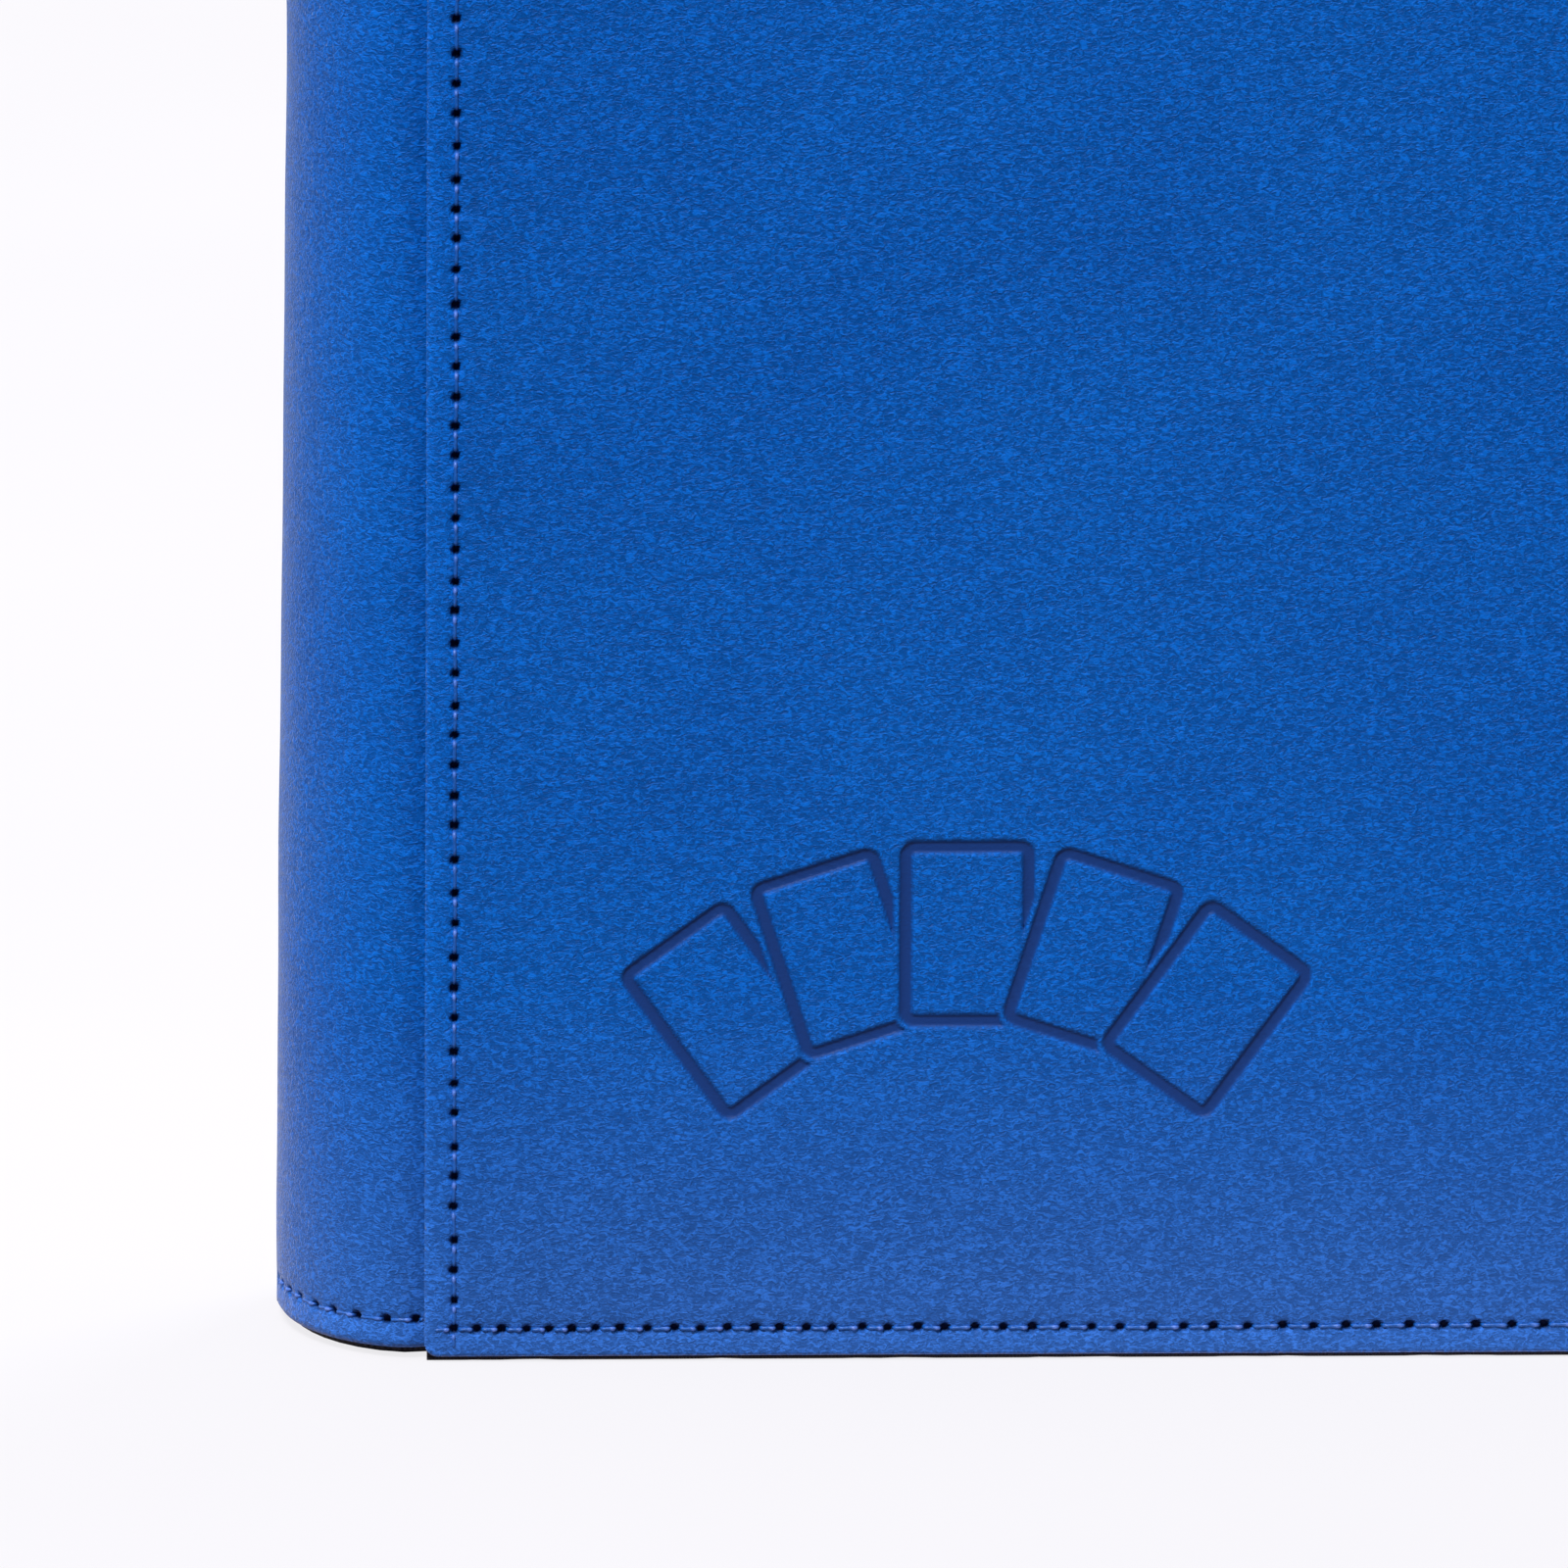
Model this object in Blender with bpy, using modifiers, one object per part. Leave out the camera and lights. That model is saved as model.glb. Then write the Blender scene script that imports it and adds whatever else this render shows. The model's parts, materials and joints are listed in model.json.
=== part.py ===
"""Trading card binder with a zip closure, standing upright on its bottom edge.

A rounded spine carries two sewn covers on leather hinges, twenty pocket pages on a
binding strip, and a zip whose two tapes run round the top, the fore edge and the bottom.

Metres, +Z up.  The spine is at -X, the front cover faces -Y.  The origin is the middle
of the bottom of the whole binder's box.
"""
import math

import bmesh
import bpy

# Whole binder
HEIGHT = 0.345
WIDTH = 0.271
THICKNESS = 0.050
SPINE_BULGE = 0.016
GAP = 0.0003

# Covers, from the outside in
LEATHER = 0.0012
TAPE = 0.0008
FOAM = 0.0028
BOARD = 0.0015
LINING = 0.0006
SEWN_EDGE_RADIUS = 0.0015
FORE_EDGE_RADIUS = 0.012
LEATHER_TRIM = 0.0006
SEAM_ALLOWANCE = 0.0095
LINING_START = 0.001

# Zip
ZIP_RECESS = 0.0070
TAPE_START = 0.0010
COIL_START = 0.0085
END_TAB_WIDTH = 0.018
END_TAB_THICKNESS = 0.0014
COIL_RADIUS = 0.0010
COIL_OFFSET = 0.0016
SLIDER_LENGTH = 0.011
SLIDER_WIDTH = 0.0084
SLIDER_PLATE = 0.0012
SLIDER_REST = 0.0175
CROWN_WIDTH = 0.0022
CROWN_WIRE = 0.0009
CROWN_LENGTH = 0.0070
PULL_WIRE = 0.0006
PULL_RING_LENGTH = 0.0090
PULL_RING_WIDTH = 0.0060
PULL_TAB_LENGTH = 0.026
PULL_TAB_WIDTH = 0.0085
PULL_TAB_THICKNESS = 0.0018

# Spine, from the outside in
SPINE_TRIM = 0.0013
BACKING_TRIM = 0.0005
SPINE_STEPS = 28
SPINE_PLATE_TRIM = 0.010
STRIP_THICKNESS = 0.0025

# Pages
PAGE_COUNT = 20
PAGE_PITCH = 0.00095
PAGE_THICKNESS = 0.00045
TONGUE_THICKNESS = 0.00018
TONGUE_LENGTH = 0.009
PAGE_WIDTH = 0.235
PAGE_HEIGHT = 0.311

# Places worked out from the sizes above
LEFT = -WIDTH / 2
RIGHT = WIDTH / 2
SEAM_X = LEFT + SPINE_BULGE
FACE_Y = THICKNESS / 2
TAPE_Y = FACE_Y - LEATHER - GAP
FOAM_Y = TAPE_Y
BOARD_Y = FOAM_Y - FOAM - GAP
LINING_Y = BOARD_Y - BOARD - GAP
TAPE_WALL = ZIP_RECESS
INNER_INSET = TAPE_WALL + TAPE + GAP
ZIP_Z = HEIGHT - ZIP_RECESS - TAPE / 2
SPINE_HALF = TAPE_Y
SPINE_BOARD_X = SEAM_X + GAP
SPINE_LINING_X = SPINE_BOARD_X + BOARD + GAP
STRIP_X = SPINE_LINING_X + LINING + GAP
PAGE_X = STRIP_X + STRIP_THICKNESS + GAP
PAGE_BOTTOM = (HEIGHT - PAGE_HEIGHT) / 2
SLIDER_X = SEAM_X + SLIDER_REST
PULL_Z = ZIP_Z + COIL_RADIUS + GAP + SLIDER_PLATE + GAP + PULL_WIRE


def clear_scene():
    """Start from an empty file."""
    for obj in list(bpy.data.objects):
        bpy.data.objects.remove(obj, do_unlink=True)


def make_collection(name):
    collection = bpy.data.collections.new(name)
    bpy.context.scene.collection.children.link(collection)
    return collection


def make_material(name, colour, roughness, metallic=0.0):
    material = bpy.data.materials.new(name)
    material.use_nodes = True
    shader = material.node_tree.nodes["Principled BSDF"]
    shader.inputs["Base Color"].default_value = (*colour, 1.0)
    shader.inputs["Roughness"].default_value = roughness
    shader.inputs["Metallic"].default_value = metallic
    return material


def make_materials():
    return {
        "leather": make_material("blue_leather", (0.0, 0.09, 0.43), 0.55),
        "tape": make_material("black_tape", (0.012, 0.013, 0.018), 0.85),
        "foam": make_material("grey_foam", (0.35, 0.35, 0.36), 0.95),
        "board": make_material("grey_board", (0.28, 0.25, 0.21), 0.9),
        "lining": make_material("black_lining", (0.015, 0.016, 0.02), 0.8),
        "coil": make_material("black_coil", (0.02, 0.02, 0.024), 0.4),
        "metal": make_material("dark_metal", (0.12, 0.12, 0.13), 0.3, 1.0),
        "page": make_material("page_film", (0.05, 0.052, 0.058), 0.25),
    }


def arc(centre, radius, start, end, steps=6):
    """Points on a circular arc, angles in degrees, both ends included."""
    points = []
    for step in range(steps + 1):
        angle = math.radians(start + (end - start) * step / steps)
        points.append((centre[0] + radius * math.cos(angle), centre[1] + radius * math.sin(angle)))
    return points


def panel_outline(left, right, bottom, top, left_radius, right_radius):
    """A rectangle with its two left corners and its two right corners rounded."""
    points = arc((left + left_radius, bottom + left_radius), left_radius, 180, 270, 4)
    points += arc((right - right_radius, bottom + right_radius), right_radius, 270, 360)
    points += arc((right - right_radius, top - right_radius), right_radius, 0, 90)
    points += arc((left + left_radius, top - left_radius), left_radius, 90, 180, 4)
    return points


def zip_run(inset, start):
    """The line that the zip follows in X and Z: along the bottom, up the fore edge, back."""
    radius = FORE_EDGE_RADIUS - inset
    corner_x = RIGHT - FORE_EDGE_RADIUS
    points = [(start, inset)]
    points += arc((corner_x, FORE_EDGE_RADIUS), radius, 270, 360)
    points += arc((corner_x, HEIGHT - FORE_EDGE_RADIUS), radius, 0, 90)
    points.append((start, HEIGHT - inset))
    return points


def half_ellipse(reach, half_width):
    """Points of the rounded spine in X and Y, from the front round to the back."""
    points = []
    for step in range(SPINE_STEPS + 1):
        angle = math.pi * (step / SPINE_STEPS - 0.5)
        points.append((SEAM_X - GAP - reach * math.cos(angle), half_width * math.sin(angle)))
    return points


def outline_solid(name, points, low, high, plane, material, collection):
    """A flat outline given thickness: plane XY is lifted along Z, plane XZ along Y."""
    curve = bpy.data.curves.new(name, "CURVE")
    curve.dimensions = "2D"
    curve.fill_mode = "BOTH"
    curve.extrude = (high - low) / 2
    spline = curve.splines.new("POLY")
    spline.points.add(len(points) - 1)
    for point, place in zip(spline.points, points):
        point.co = (place[0], place[1], 0.0, 1.0)
    spline.use_cyclic_u = True
    source = bpy.data.objects.new(name + "_outline", curve)
    bpy.context.scene.collection.objects.link(source)
    middle = (low + high) / 2
    if plane == "XY":
        source.location = (0.0, 0.0, middle)
    else:
        source.location = (0.0, middle, 0.0)
        source.rotation_euler = (math.pi / 2, 0.0, 0.0)
    return curve_to_mesh(source, name, material, collection)


def curve_to_mesh(source, name, material, collection):
    """A closed mesh from a curve object, its caps welded on, in world coordinates."""
    bpy.context.view_layer.update()
    evaluated = source.evaluated_get(bpy.context.evaluated_depsgraph_get())
    mesh = bpy.data.meshes.new_from_object(evaluated)
    mesh.transform(source.matrix_world)
    mesh.name = name
    solid = bpy.data.objects.new(name, mesh)
    collection.objects.link(solid)
    bpy.data.objects.remove(source, do_unlink=True)
    weld_caps(mesh)
    mesh.materials.clear()
    mesh.materials.append(material)
    mesh.shade_smooth()
    mesh.set_sharp_from_angle(angle=math.radians(35))
    return solid


def weld_caps(mesh):
    work = bmesh.new()
    work.from_mesh(mesh)
    bmesh.ops.remove_doubles(work, verts=work.verts, dist=0.00001)
    bmesh.ops.recalc_face_normals(work, faces=work.faces)
    work.to_mesh(mesh)
    work.free()


def wire(name, points, radius, material, collection, closed=False):
    """A round wire or rod along a line of points, with filled ends."""
    curve = bpy.data.curves.new(name, "CURVE")
    curve.dimensions = "3D"
    curve.bevel_depth = radius
    curve.bevel_resolution = 2
    curve.use_fill_caps = True
    spline = curve.splines.new("POLY")
    spline.points.add(len(points) - 1)
    for point, place in zip(spline.points, points):
        point.co = (*place, 1.0)
    spline.use_cyclic_u = closed
    source = bpy.data.objects.new(name + "_line", curve)
    bpy.context.scene.collection.objects.link(source)
    return curve_to_mesh(source, name, material, collection)


def soften(obj, width):
    """Round the edges of a solid."""
    bevel = obj.modifiers.new("soft_edges", "BEVEL")
    bevel.width = width
    bevel.segments = 2
    bevel.limit_method = "ANGLE"
    bevel.angle_limit = math.radians(40)


def union(obj, other):
    """Join another solid to obj for good, and remove the other."""
    boolean = obj.modifiers.new("join_" + other.name, "BOOLEAN")
    boolean.operation = "UNION"
    boolean.object = other
    bpy.context.view_layer.update()
    evaluated = obj.evaluated_get(bpy.context.evaluated_depsgraph_get())
    joined = bpy.data.meshes.new_from_object(evaluated)
    obj.modifiers.clear()
    obj.data = joined
    bpy.data.objects.remove(other, do_unlink=True)


def pivot(name, place, collection):
    """An empty on a joint's axis."""
    empty = bpy.data.objects.new(name, None)
    empty.empty_display_size = 0.01
    empty.location = place
    collection.objects.link(empty)
    return empty


def hang(empty, *objects):
    """Parent objects to the empty on their joint's axis, where they stand."""
    bpy.context.view_layer.update()
    for obj in objects:
        obj.parent = empty
        obj.matrix_parent_inverse = empty.matrix_world.inverted()


def depth_range(side, outer, thickness):
    """Low and high Y of a cover layer: side -1 is the front cover, +1 the back."""
    ends = sorted((side * outer, side * (outer - thickness)))
    return ends[0], ends[1]


def cover_leather(prefix, side, materials, collection):
    outline = panel_outline(
        SEAM_X, RIGHT, LEATHER_TRIM, HEIGHT - LEATHER_TRIM, SEWN_EDGE_RADIUS, FORE_EDGE_RADIUS)
    low, high = depth_range(side, FACE_Y, LEATHER)
    name = prefix + "_cover_leather"
    panel = outline_solid(name, outline, low, high, "XZ", materials["leather"], collection)
    soften(panel, LEATHER * 0.25)
    return panel


def cover_layer(prefix, layer, side, outer, thickness, start, inset, materials, collection):
    """A foam, board or lining plate inside the zip tape's wall."""
    outline = panel_outline(
        SEAM_X + start, RIGHT - inset, inset, HEIGHT - inset,
        SEWN_EDGE_RADIUS, FORE_EDGE_RADIUS - TAPE_WALL)
    low, high = depth_range(side, outer, thickness)
    name = prefix + "_cover_" + layer
    return outline_solid(name, outline, low, high, "XZ", materials[layer], collection)


def zip_tape(prefix, side, materials, collection):
    """A tape with an L section: a flange sewn under the leather, and a wall to the coil."""
    start = SEAM_X + TAPE_START
    wall_line = zip_run(TAPE_WALL, start)
    inner_line = zip_run(TAPE_WALL + TAPE, start)
    edge_line = zip_run(0.0, start)
    wall_end = COIL_OFFSET + COIL_RADIUS + GAP
    low, high = sorted((side * TAPE_Y, side * wall_end))
    wall = outline_solid(prefix + "_zip_tape", wall_line + inner_line[::-1], low, high, "XZ",
                         materials["tape"], collection)
    low, high = depth_range(side, TAPE_Y, TAPE)
    flange = outline_solid(prefix + "_zip_flange", edge_line + inner_line[::-1], low, high, "XZ",
                           materials["tape"], collection)
    union(wall, flange)
    return wall


def zip_coil(prefix, side, materials, collection):
    start = SEAM_X + COIL_START
    line = zip_run(TAPE_WALL + TAPE / 2, start)
    points = [(x, side * COIL_OFFSET, z) for x, z in line]
    return wire(prefix + "_zip_coil", points, COIL_RADIUS, materials["coil"], collection)


def build_cover(prefix, side, materials, collection):
    """One cover and the half of the zip that is sewn to it, on its leather hinge."""
    hinge = pivot(prefix + "_cover_hinge", (SEAM_X, side * FACE_Y, 0.0), collection)
    pieces = [
        cover_leather(prefix, side, materials, collection),
        cover_layer(prefix, "foam", side, FOAM_Y, FOAM, SEAM_ALLOWANCE, INNER_INSET,
                    materials, collection),
        cover_layer(prefix, "board", side, BOARD_Y, BOARD, SEAM_ALLOWANCE, INNER_INSET,
                    materials, collection),
        cover_layer(prefix, "lining", side, LINING_Y, LINING, LINING_START, INNER_INSET,
                    materials, collection),
        zip_tape(prefix, side, materials, collection),
        zip_coil(prefix, side, materials, collection),
    ]
    hang(hinge, *pieces)


def spine_shell(name, depth, thickness, trim, material, collection):
    """A half-round sheet of the spine, its outer face depth inside the leather's."""
    outer = half_ellipse(SPINE_BULGE - GAP - depth, SPINE_HALF - depth)
    inner = half_ellipse(SPINE_BULGE - GAP - depth - thickness, SPINE_HALF - depth - thickness)
    return outline_solid(name, outer + inner[::-1], trim, HEIGHT - trim, "XY", material, collection)


def spine_plate(name, x, thickness, half_width, trim, material, collection):
    outline = [(x, -half_width), (x + thickness, -half_width), (x + thickness, half_width),
               (x, half_width)]
    return outline_solid(name, outline, trim, HEIGHT - trim, "XY", material, collection)


def build_spine(materials, collection):
    """The fixed middle of the binder: everything else hangs from it."""
    leather = spine_shell("spine_leather", 0.0, LEATHER, SPINE_TRIM, materials["leather"],
                          collection)
    soften(leather, LEATHER * 0.25)
    backing_depth = LEATHER + GAP
    spine_shell("spine_backing", backing_depth, LINING, BACKING_TRIM,
                materials["lining"], collection)
    foam_depth = backing_depth + LINING + GAP
    foam = half_ellipse(SPINE_BULGE - GAP - foam_depth, SPINE_HALF - foam_depth)
    outline_solid("spine_foam", foam, SPINE_TRIM, HEIGHT - SPINE_TRIM, "XY", materials["foam"],
                  collection)
    plate_half = LINING_Y - LINING - GAP * 2
    spine_plate("spine_board", SPINE_BOARD_X, BOARD, plate_half, SPINE_PLATE_TRIM,
                materials["board"], collection)
    spine_plate("spine_lining", SPINE_LINING_X, LINING, plate_half, SPINE_PLATE_TRIM,
                materials["lining"], collection)
    strip_half = PAGE_COUNT * PAGE_PITCH / 2 + STRIP_THICKNESS / 2
    spine_plate("page_binding_strip", STRIP_X, STRIP_THICKNESS, strip_half,
                PAGE_BOTTOM, materials["tape"], collection)


def build_zip_end(name, side, materials, collection):
    """The folded tab sewn over an end of the zip: side +1 is the top of the binder."""
    left = SEAM_X + GAP
    right = SEAM_X + COIL_START - GAP
    half_width = END_TAB_WIDTH / 2
    outline = [(left, -half_width), (right, -half_width * 0.6), (right, half_width * 0.6),
               (left, half_width)]
    middle = HEIGHT / 2
    near = TAPE / 2 + GAP
    reach = ZIP_Z - middle
    low, high = sorted((middle + side * (reach + near),
                        middle + side * (reach + near + END_TAB_THICKNESS)))
    tab = outline_solid(name, outline, low, high, "XY", materials["tape"], collection)
    soften(tab, END_TAB_THICKNESS * 0.3)


def slider_outline(length, width):
    """A slider plate: broad shoulders at the spine end, a narrower square tail."""
    half = length / 2
    nose = width / 2
    tail = width * 0.34
    points = [(SLIDER_X + half, -tail), (SLIDER_X + half, tail)]
    points += [(SLIDER_X - half * 0.2, nose), (SLIDER_X - half * 0.75, nose)]
    points += [(SLIDER_X - half, nose * 0.55), (SLIDER_X - half, -nose * 0.55)]
    points += [(SLIDER_X - half * 0.75, -nose), (SLIDER_X - half * 0.2, -nose)]
    return points


def build_slider(materials, collection):
    """The slider: two plates on a thin post, a crown over them and the pull on the crown."""
    rail = pivot("zip_slider_rail", (SLIDER_X, 0.0, ZIP_Z), collection)
    plate_low = COIL_RADIUS + GAP
    plate_high = plate_low + SLIDER_PLATE
    outline = slider_outline(SLIDER_LENGTH, SLIDER_WIDTH)
    top = outline_solid("zip_slider", outline, ZIP_Z + plate_low, ZIP_Z + plate_high, "XY",
                        materials["metal"], collection)
    bottom = outline_solid("zip_slider_base", outline, ZIP_Z - plate_high, ZIP_Z - plate_low, "XY",
                           materials["metal"], collection)
    post_half = (COIL_OFFSET - COIL_RADIUS) - GAP
    post_right = SLIDER_X - SLIDER_LENGTH * 0.2
    post_left = SLIDER_X - SLIDER_LENGTH * 0.45
    post_outline = [(post_left, -post_half), (post_right, -post_half), (post_right, post_half),
                    (post_left, post_half)]
    post = outline_solid("zip_slider_post", post_outline, ZIP_Z - plate_low - SLIDER_PLATE / 2,
                         ZIP_Z + plate_low + SLIDER_PLATE / 2, "XY", materials["metal"], collection)
    union(top, bottom)
    union(top, post)
    crown = build_crown(ZIP_Z + plate_high + GAP, materials, collection)
    hang(rail, top, crown)


def build_crown(foot_z, materials, collection):
    """An arch over the slider's top plate, which holds the pull's ring."""
    rise = PULL_WIRE * 2 + GAP * 3 + CROWN_WIRE
    half = CROWN_LENGTH / 2
    ramp = rise
    outer = [(SLIDER_X - half, foot_z), (SLIDER_X - half + ramp * 0.6, foot_z + rise),
             (SLIDER_X + half - ramp * 0.6, foot_z + rise), (SLIDER_X + half, foot_z)]
    inner = [(SLIDER_X + half - CROWN_WIRE * 1.6, foot_z),
             (SLIDER_X + half - ramp * 0.6 - CROWN_WIRE * 0.6, foot_z + rise - CROWN_WIRE),
             (SLIDER_X - half + ramp * 0.6 + CROWN_WIRE * 0.6, foot_z + rise - CROWN_WIRE),
             (SLIDER_X - half + CROWN_WIRE * 1.6, foot_z)]
    crown = outline_solid("zip_slider_crown", outer + inner, -CROWN_WIDTH / 2, CROWN_WIDTH / 2,
                          "XZ", materials["metal"], collection)
    soften(crown, CROWN_WIRE * 0.2)
    return crown


def ring_line(length, width):
    """A closed loop from the crown towards the fore edge, flat in X and Y."""
    radius = width * 0.3
    half = width / 2
    points = arc((SLIDER_X + radius, -half + radius), radius, 180, 270, 4)
    points += arc((SLIDER_X + length - radius, -half + radius), radius, 270, 360, 4)
    points += arc((SLIDER_X + length - radius, half - radius), radius, 0, 90, 4)
    points += arc((SLIDER_X + radius, half - radius), radius, 90, 180, 4)
    return [(x, y, PULL_Z) for x, y in points]


def build_pull(materials, collection):
    """The pull: a wire ring in the crown, and a leather tab that closes round the ring."""
    hinge = pivot("zip_pull_hinge", (SLIDER_X, 0.0, PULL_Z), collection)
    ring = wire("zip_pull_ring", ring_line(PULL_RING_LENGTH, PULL_RING_WIDTH), PULL_WIRE,
                materials["metal"], collection, closed=True)
    left = SLIDER_X + PULL_RING_LENGTH + PULL_WIRE + GAP
    right = left + PULL_TAB_LENGTH
    outline = panel_outline(left, right, -PULL_TAB_WIDTH / 2, PULL_TAB_WIDTH / 2,
                            PULL_TAB_WIDTH * 0.12, PULL_TAB_WIDTH * 0.4)
    half = PULL_TAB_THICKNESS / 2
    tab = outline_solid("zip_pull_tab", outline, PULL_Z - half, PULL_Z + half, "XY",
                        materials["leather"], collection)
    soften(tab, PULL_TAB_THICKNESS * 0.25)
    hang(hinge, ring, tab)


def build_page(number, materials, collection):
    """A pocket page: a stiff sleeve plate on a thin tongue, hinged at the binding strip."""
    y = (number - (PAGE_COUNT + 1) / 2) * PAGE_PITCH
    name = f"page_{number:02d}"
    hinge = pivot(name + "_hinge", (PAGE_X, y, 0.0), collection)
    plate = PAGE_THICKNESS / 2
    tongue = TONGUE_THICKNESS / 2
    plate_x = PAGE_X + TONGUE_LENGTH
    page_right = PAGE_X + PAGE_WIDTH
    outline = [(PAGE_X, y - tongue), (plate_x, y - tongue), (plate_x, y - plate),
               (page_right, y - plate), (page_right, y + plate), (plate_x, y + plate),
               (plate_x, y + tongue), (PAGE_X, y + tongue)]
    page = outline_solid(name, outline, PAGE_BOTTOM, PAGE_BOTTOM + PAGE_HEIGHT, "XY",
                         materials["page"], collection)
    hang(hinge, page)


def main():
    clear_scene()
    collection = make_collection("trading_card_binder")
    materials = make_materials()
    build_spine(materials, collection)
    build_cover("front", -1, materials, collection)
    build_cover("back", 1, materials, collection)
    build_zip_end("zip_end_tab_top", 1, materials, collection)
    build_zip_end("zip_end_tab_bottom", -1, materials, collection)
    build_slider(materials, collection)
    build_pull(materials, collection)
    for number in range(1, PAGE_COUNT + 1):
        build_page(number, materials, collection)


main()
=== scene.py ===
"""The looks of the trading card binder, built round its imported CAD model.

Metres, in the CAD's own frame: the spine is at -X, the front cover faces -Y, +Z is up.
"""
import json
import math
import random

import bpy
import numpy as np
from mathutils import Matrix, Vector


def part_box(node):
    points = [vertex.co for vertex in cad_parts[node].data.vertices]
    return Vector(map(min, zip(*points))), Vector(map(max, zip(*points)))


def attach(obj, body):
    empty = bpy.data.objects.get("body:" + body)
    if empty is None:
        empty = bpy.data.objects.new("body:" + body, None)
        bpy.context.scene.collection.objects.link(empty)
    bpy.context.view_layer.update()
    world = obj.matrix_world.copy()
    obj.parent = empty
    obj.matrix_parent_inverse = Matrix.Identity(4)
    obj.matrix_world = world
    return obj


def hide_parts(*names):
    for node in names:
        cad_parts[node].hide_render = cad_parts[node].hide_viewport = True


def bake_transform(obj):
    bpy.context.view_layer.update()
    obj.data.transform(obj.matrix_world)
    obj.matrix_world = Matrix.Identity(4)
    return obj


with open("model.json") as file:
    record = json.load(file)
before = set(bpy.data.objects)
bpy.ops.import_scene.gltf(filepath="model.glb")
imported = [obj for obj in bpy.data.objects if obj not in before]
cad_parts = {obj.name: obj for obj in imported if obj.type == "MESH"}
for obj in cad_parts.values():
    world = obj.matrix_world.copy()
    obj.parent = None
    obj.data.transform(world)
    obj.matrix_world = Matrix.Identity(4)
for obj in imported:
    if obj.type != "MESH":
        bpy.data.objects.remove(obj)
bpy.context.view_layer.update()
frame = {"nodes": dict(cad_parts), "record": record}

# ---------------------------------------------------------------- places from the frame

PANEL_LOW, PANEL_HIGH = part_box("front_cover_leather")
SPINE_LOW, SPINE_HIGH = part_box("spine_leather")
BACKING_LOW, BACKING_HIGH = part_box("spine_backing")
TAPE_LOW, TAPE_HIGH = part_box("front_zip_tape")
COIL_LOW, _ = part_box("front_zip_coil")

SEAM_X = PANEL_LOW[0]
FORE_X = PANEL_HIGH[0]
FACE_Y = -PANEL_LOW[1]
PANEL_BOTTOM = PANEL_LOW[2]
PANEL_WIDTH = FORE_X - SEAM_X
PANEL_HEIGHT = PANEL_HIGH[2] - PANEL_LOW[2]
BINDER_HEIGHT = TAPE_HIGH[2]

# ---------------------------------------------------------------- sizes of the looks

MM = 0.001
LEATHER = 1.2 * MM
SEWN_RADIUS = 1.5 * MM
FORE_RADIUS = 12.0 * MM
SEAM_INSET = 3.2 * MM
EDGE_INSET = 3.1 * MM
HOLE_HALF_LENGTH = 0.62 * MM
HOLE_HALF_WIDTH = 0.54 * MM
HOLE_DEPTH = 0.75 * MM
THREAD_RADIUS = 0.20 * MM
SPINE_TUCK = 5.0 * MM
SHEET_CELL = 2.0 * MM           # a leather sheet's coarsest cells, split three times near its details
SHEET_LEVELS = 3
HOLE_REACH = (3.2 * MM, 1.7 * MM, 1.0 * MM)
EDGE_REACH = (2.6 * MM, 0.9 * MM, 0.25 * MM)
MOTIF_REACH = (2.2 * MM, 0.9 * MM, 0.40 * MM)
MIDDLE_REACH = (2.0 * MM, 0.8 * MM, 0.3 * MM)
LIP = 0.35 * MM                 # how far in from its edge the leather rolls over
FOOT_HEIGHT = 42 * MM           # the leather is paler below this: a painted reflection of the pale floor
BELLY_AT_ENDS = 0.976           # the spine's roundness at its ends, and how much less at mid-height
BELLY_DROP = 0.056
MOTIF_CENTRE = (59.5 * MM, 47.5 * MM)
MOTIF_DEPTH = 0.35 * MM
CARD_SIZE = (15.0 * MM, 21.0 * MM)
CARD_CORNER = 1.8 * MM
CARD_STROKE = 1.5 * MM
CARD_PIVOT = 45.0 * MM
CARD_ANGLES = (-36, -18, 0, 18, 36)


# ---------------------------------------------------------------- materials

def node(tree, kind, **settings):
    made = tree.nodes.new(kind)
    for key, value in settings.items():
        setattr(made, key, value)
    return made


def set_inputs(made, **values):
    """Plain values on a node's own sockets; a space in a socket's name is written as _."""
    for key, value in values.items():
        made.inputs[key.replace("_", " ")].default_value = value


def plug(tree, value, socket):
    """Links a socket, or sets a plain number or colour."""
    if isinstance(value, bpy.types.NodeSocket):
        tree.links.new(value, socket)
    else:
        socket.default_value = (*value, 1.0) if isinstance(value, tuple) else value


def shader_material(name, roughness=0.5, specular=0.5, **sockets):
    """A Principled material, with the values that are the same all over on its own sockets."""
    material = bpy.data.materials.new(name)
    material.use_nodes = True
    shader = material.node_tree.nodes["Principled BSDF"]
    set_inputs(shader, Roughness=roughness, Specular_IOR_Level=specular, **sockets)
    return material, material.node_tree, shader


def place_texture(tree, scale):
    """Texture coordinates in the piece's own metres, scaled."""
    where = node(tree, "ShaderNodeTexCoord")
    mapping = node(tree, "ShaderNodeMapping")
    mapping.inputs["Scale"].default_value = scale
    tree.links.new(where.outputs["Object"], mapping.inputs["Vector"])
    return mapping.outputs["Vector"]


def noise(tree, scale, detail=2.0, roughness=0.5, distortion=0.0):
    texture = node(tree, "ShaderNodeTexNoise")
    set_inputs(texture, Scale=1.0, Detail=detail, Roughness=roughness, Distortion=distortion)
    tree.links.new(place_texture(tree, scale), texture.inputs["Vector"])
    return texture.outputs["Fac"]


def ramp(tree, source, stops):
    """A colour ramp: stops are (place, colour)."""
    made = node(tree, "ShaderNodeValToRGB")
    elements = made.color_ramp.elements
    while len(elements) < len(stops):
        elements.new(0.5)
    for element, (place, colour) in zip(elements, stops):
        element.position = place
        element.color = (*colour, 1.0)
    tree.links.new(source, made.inputs["Fac"])
    return made.outputs["Color"]


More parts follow.
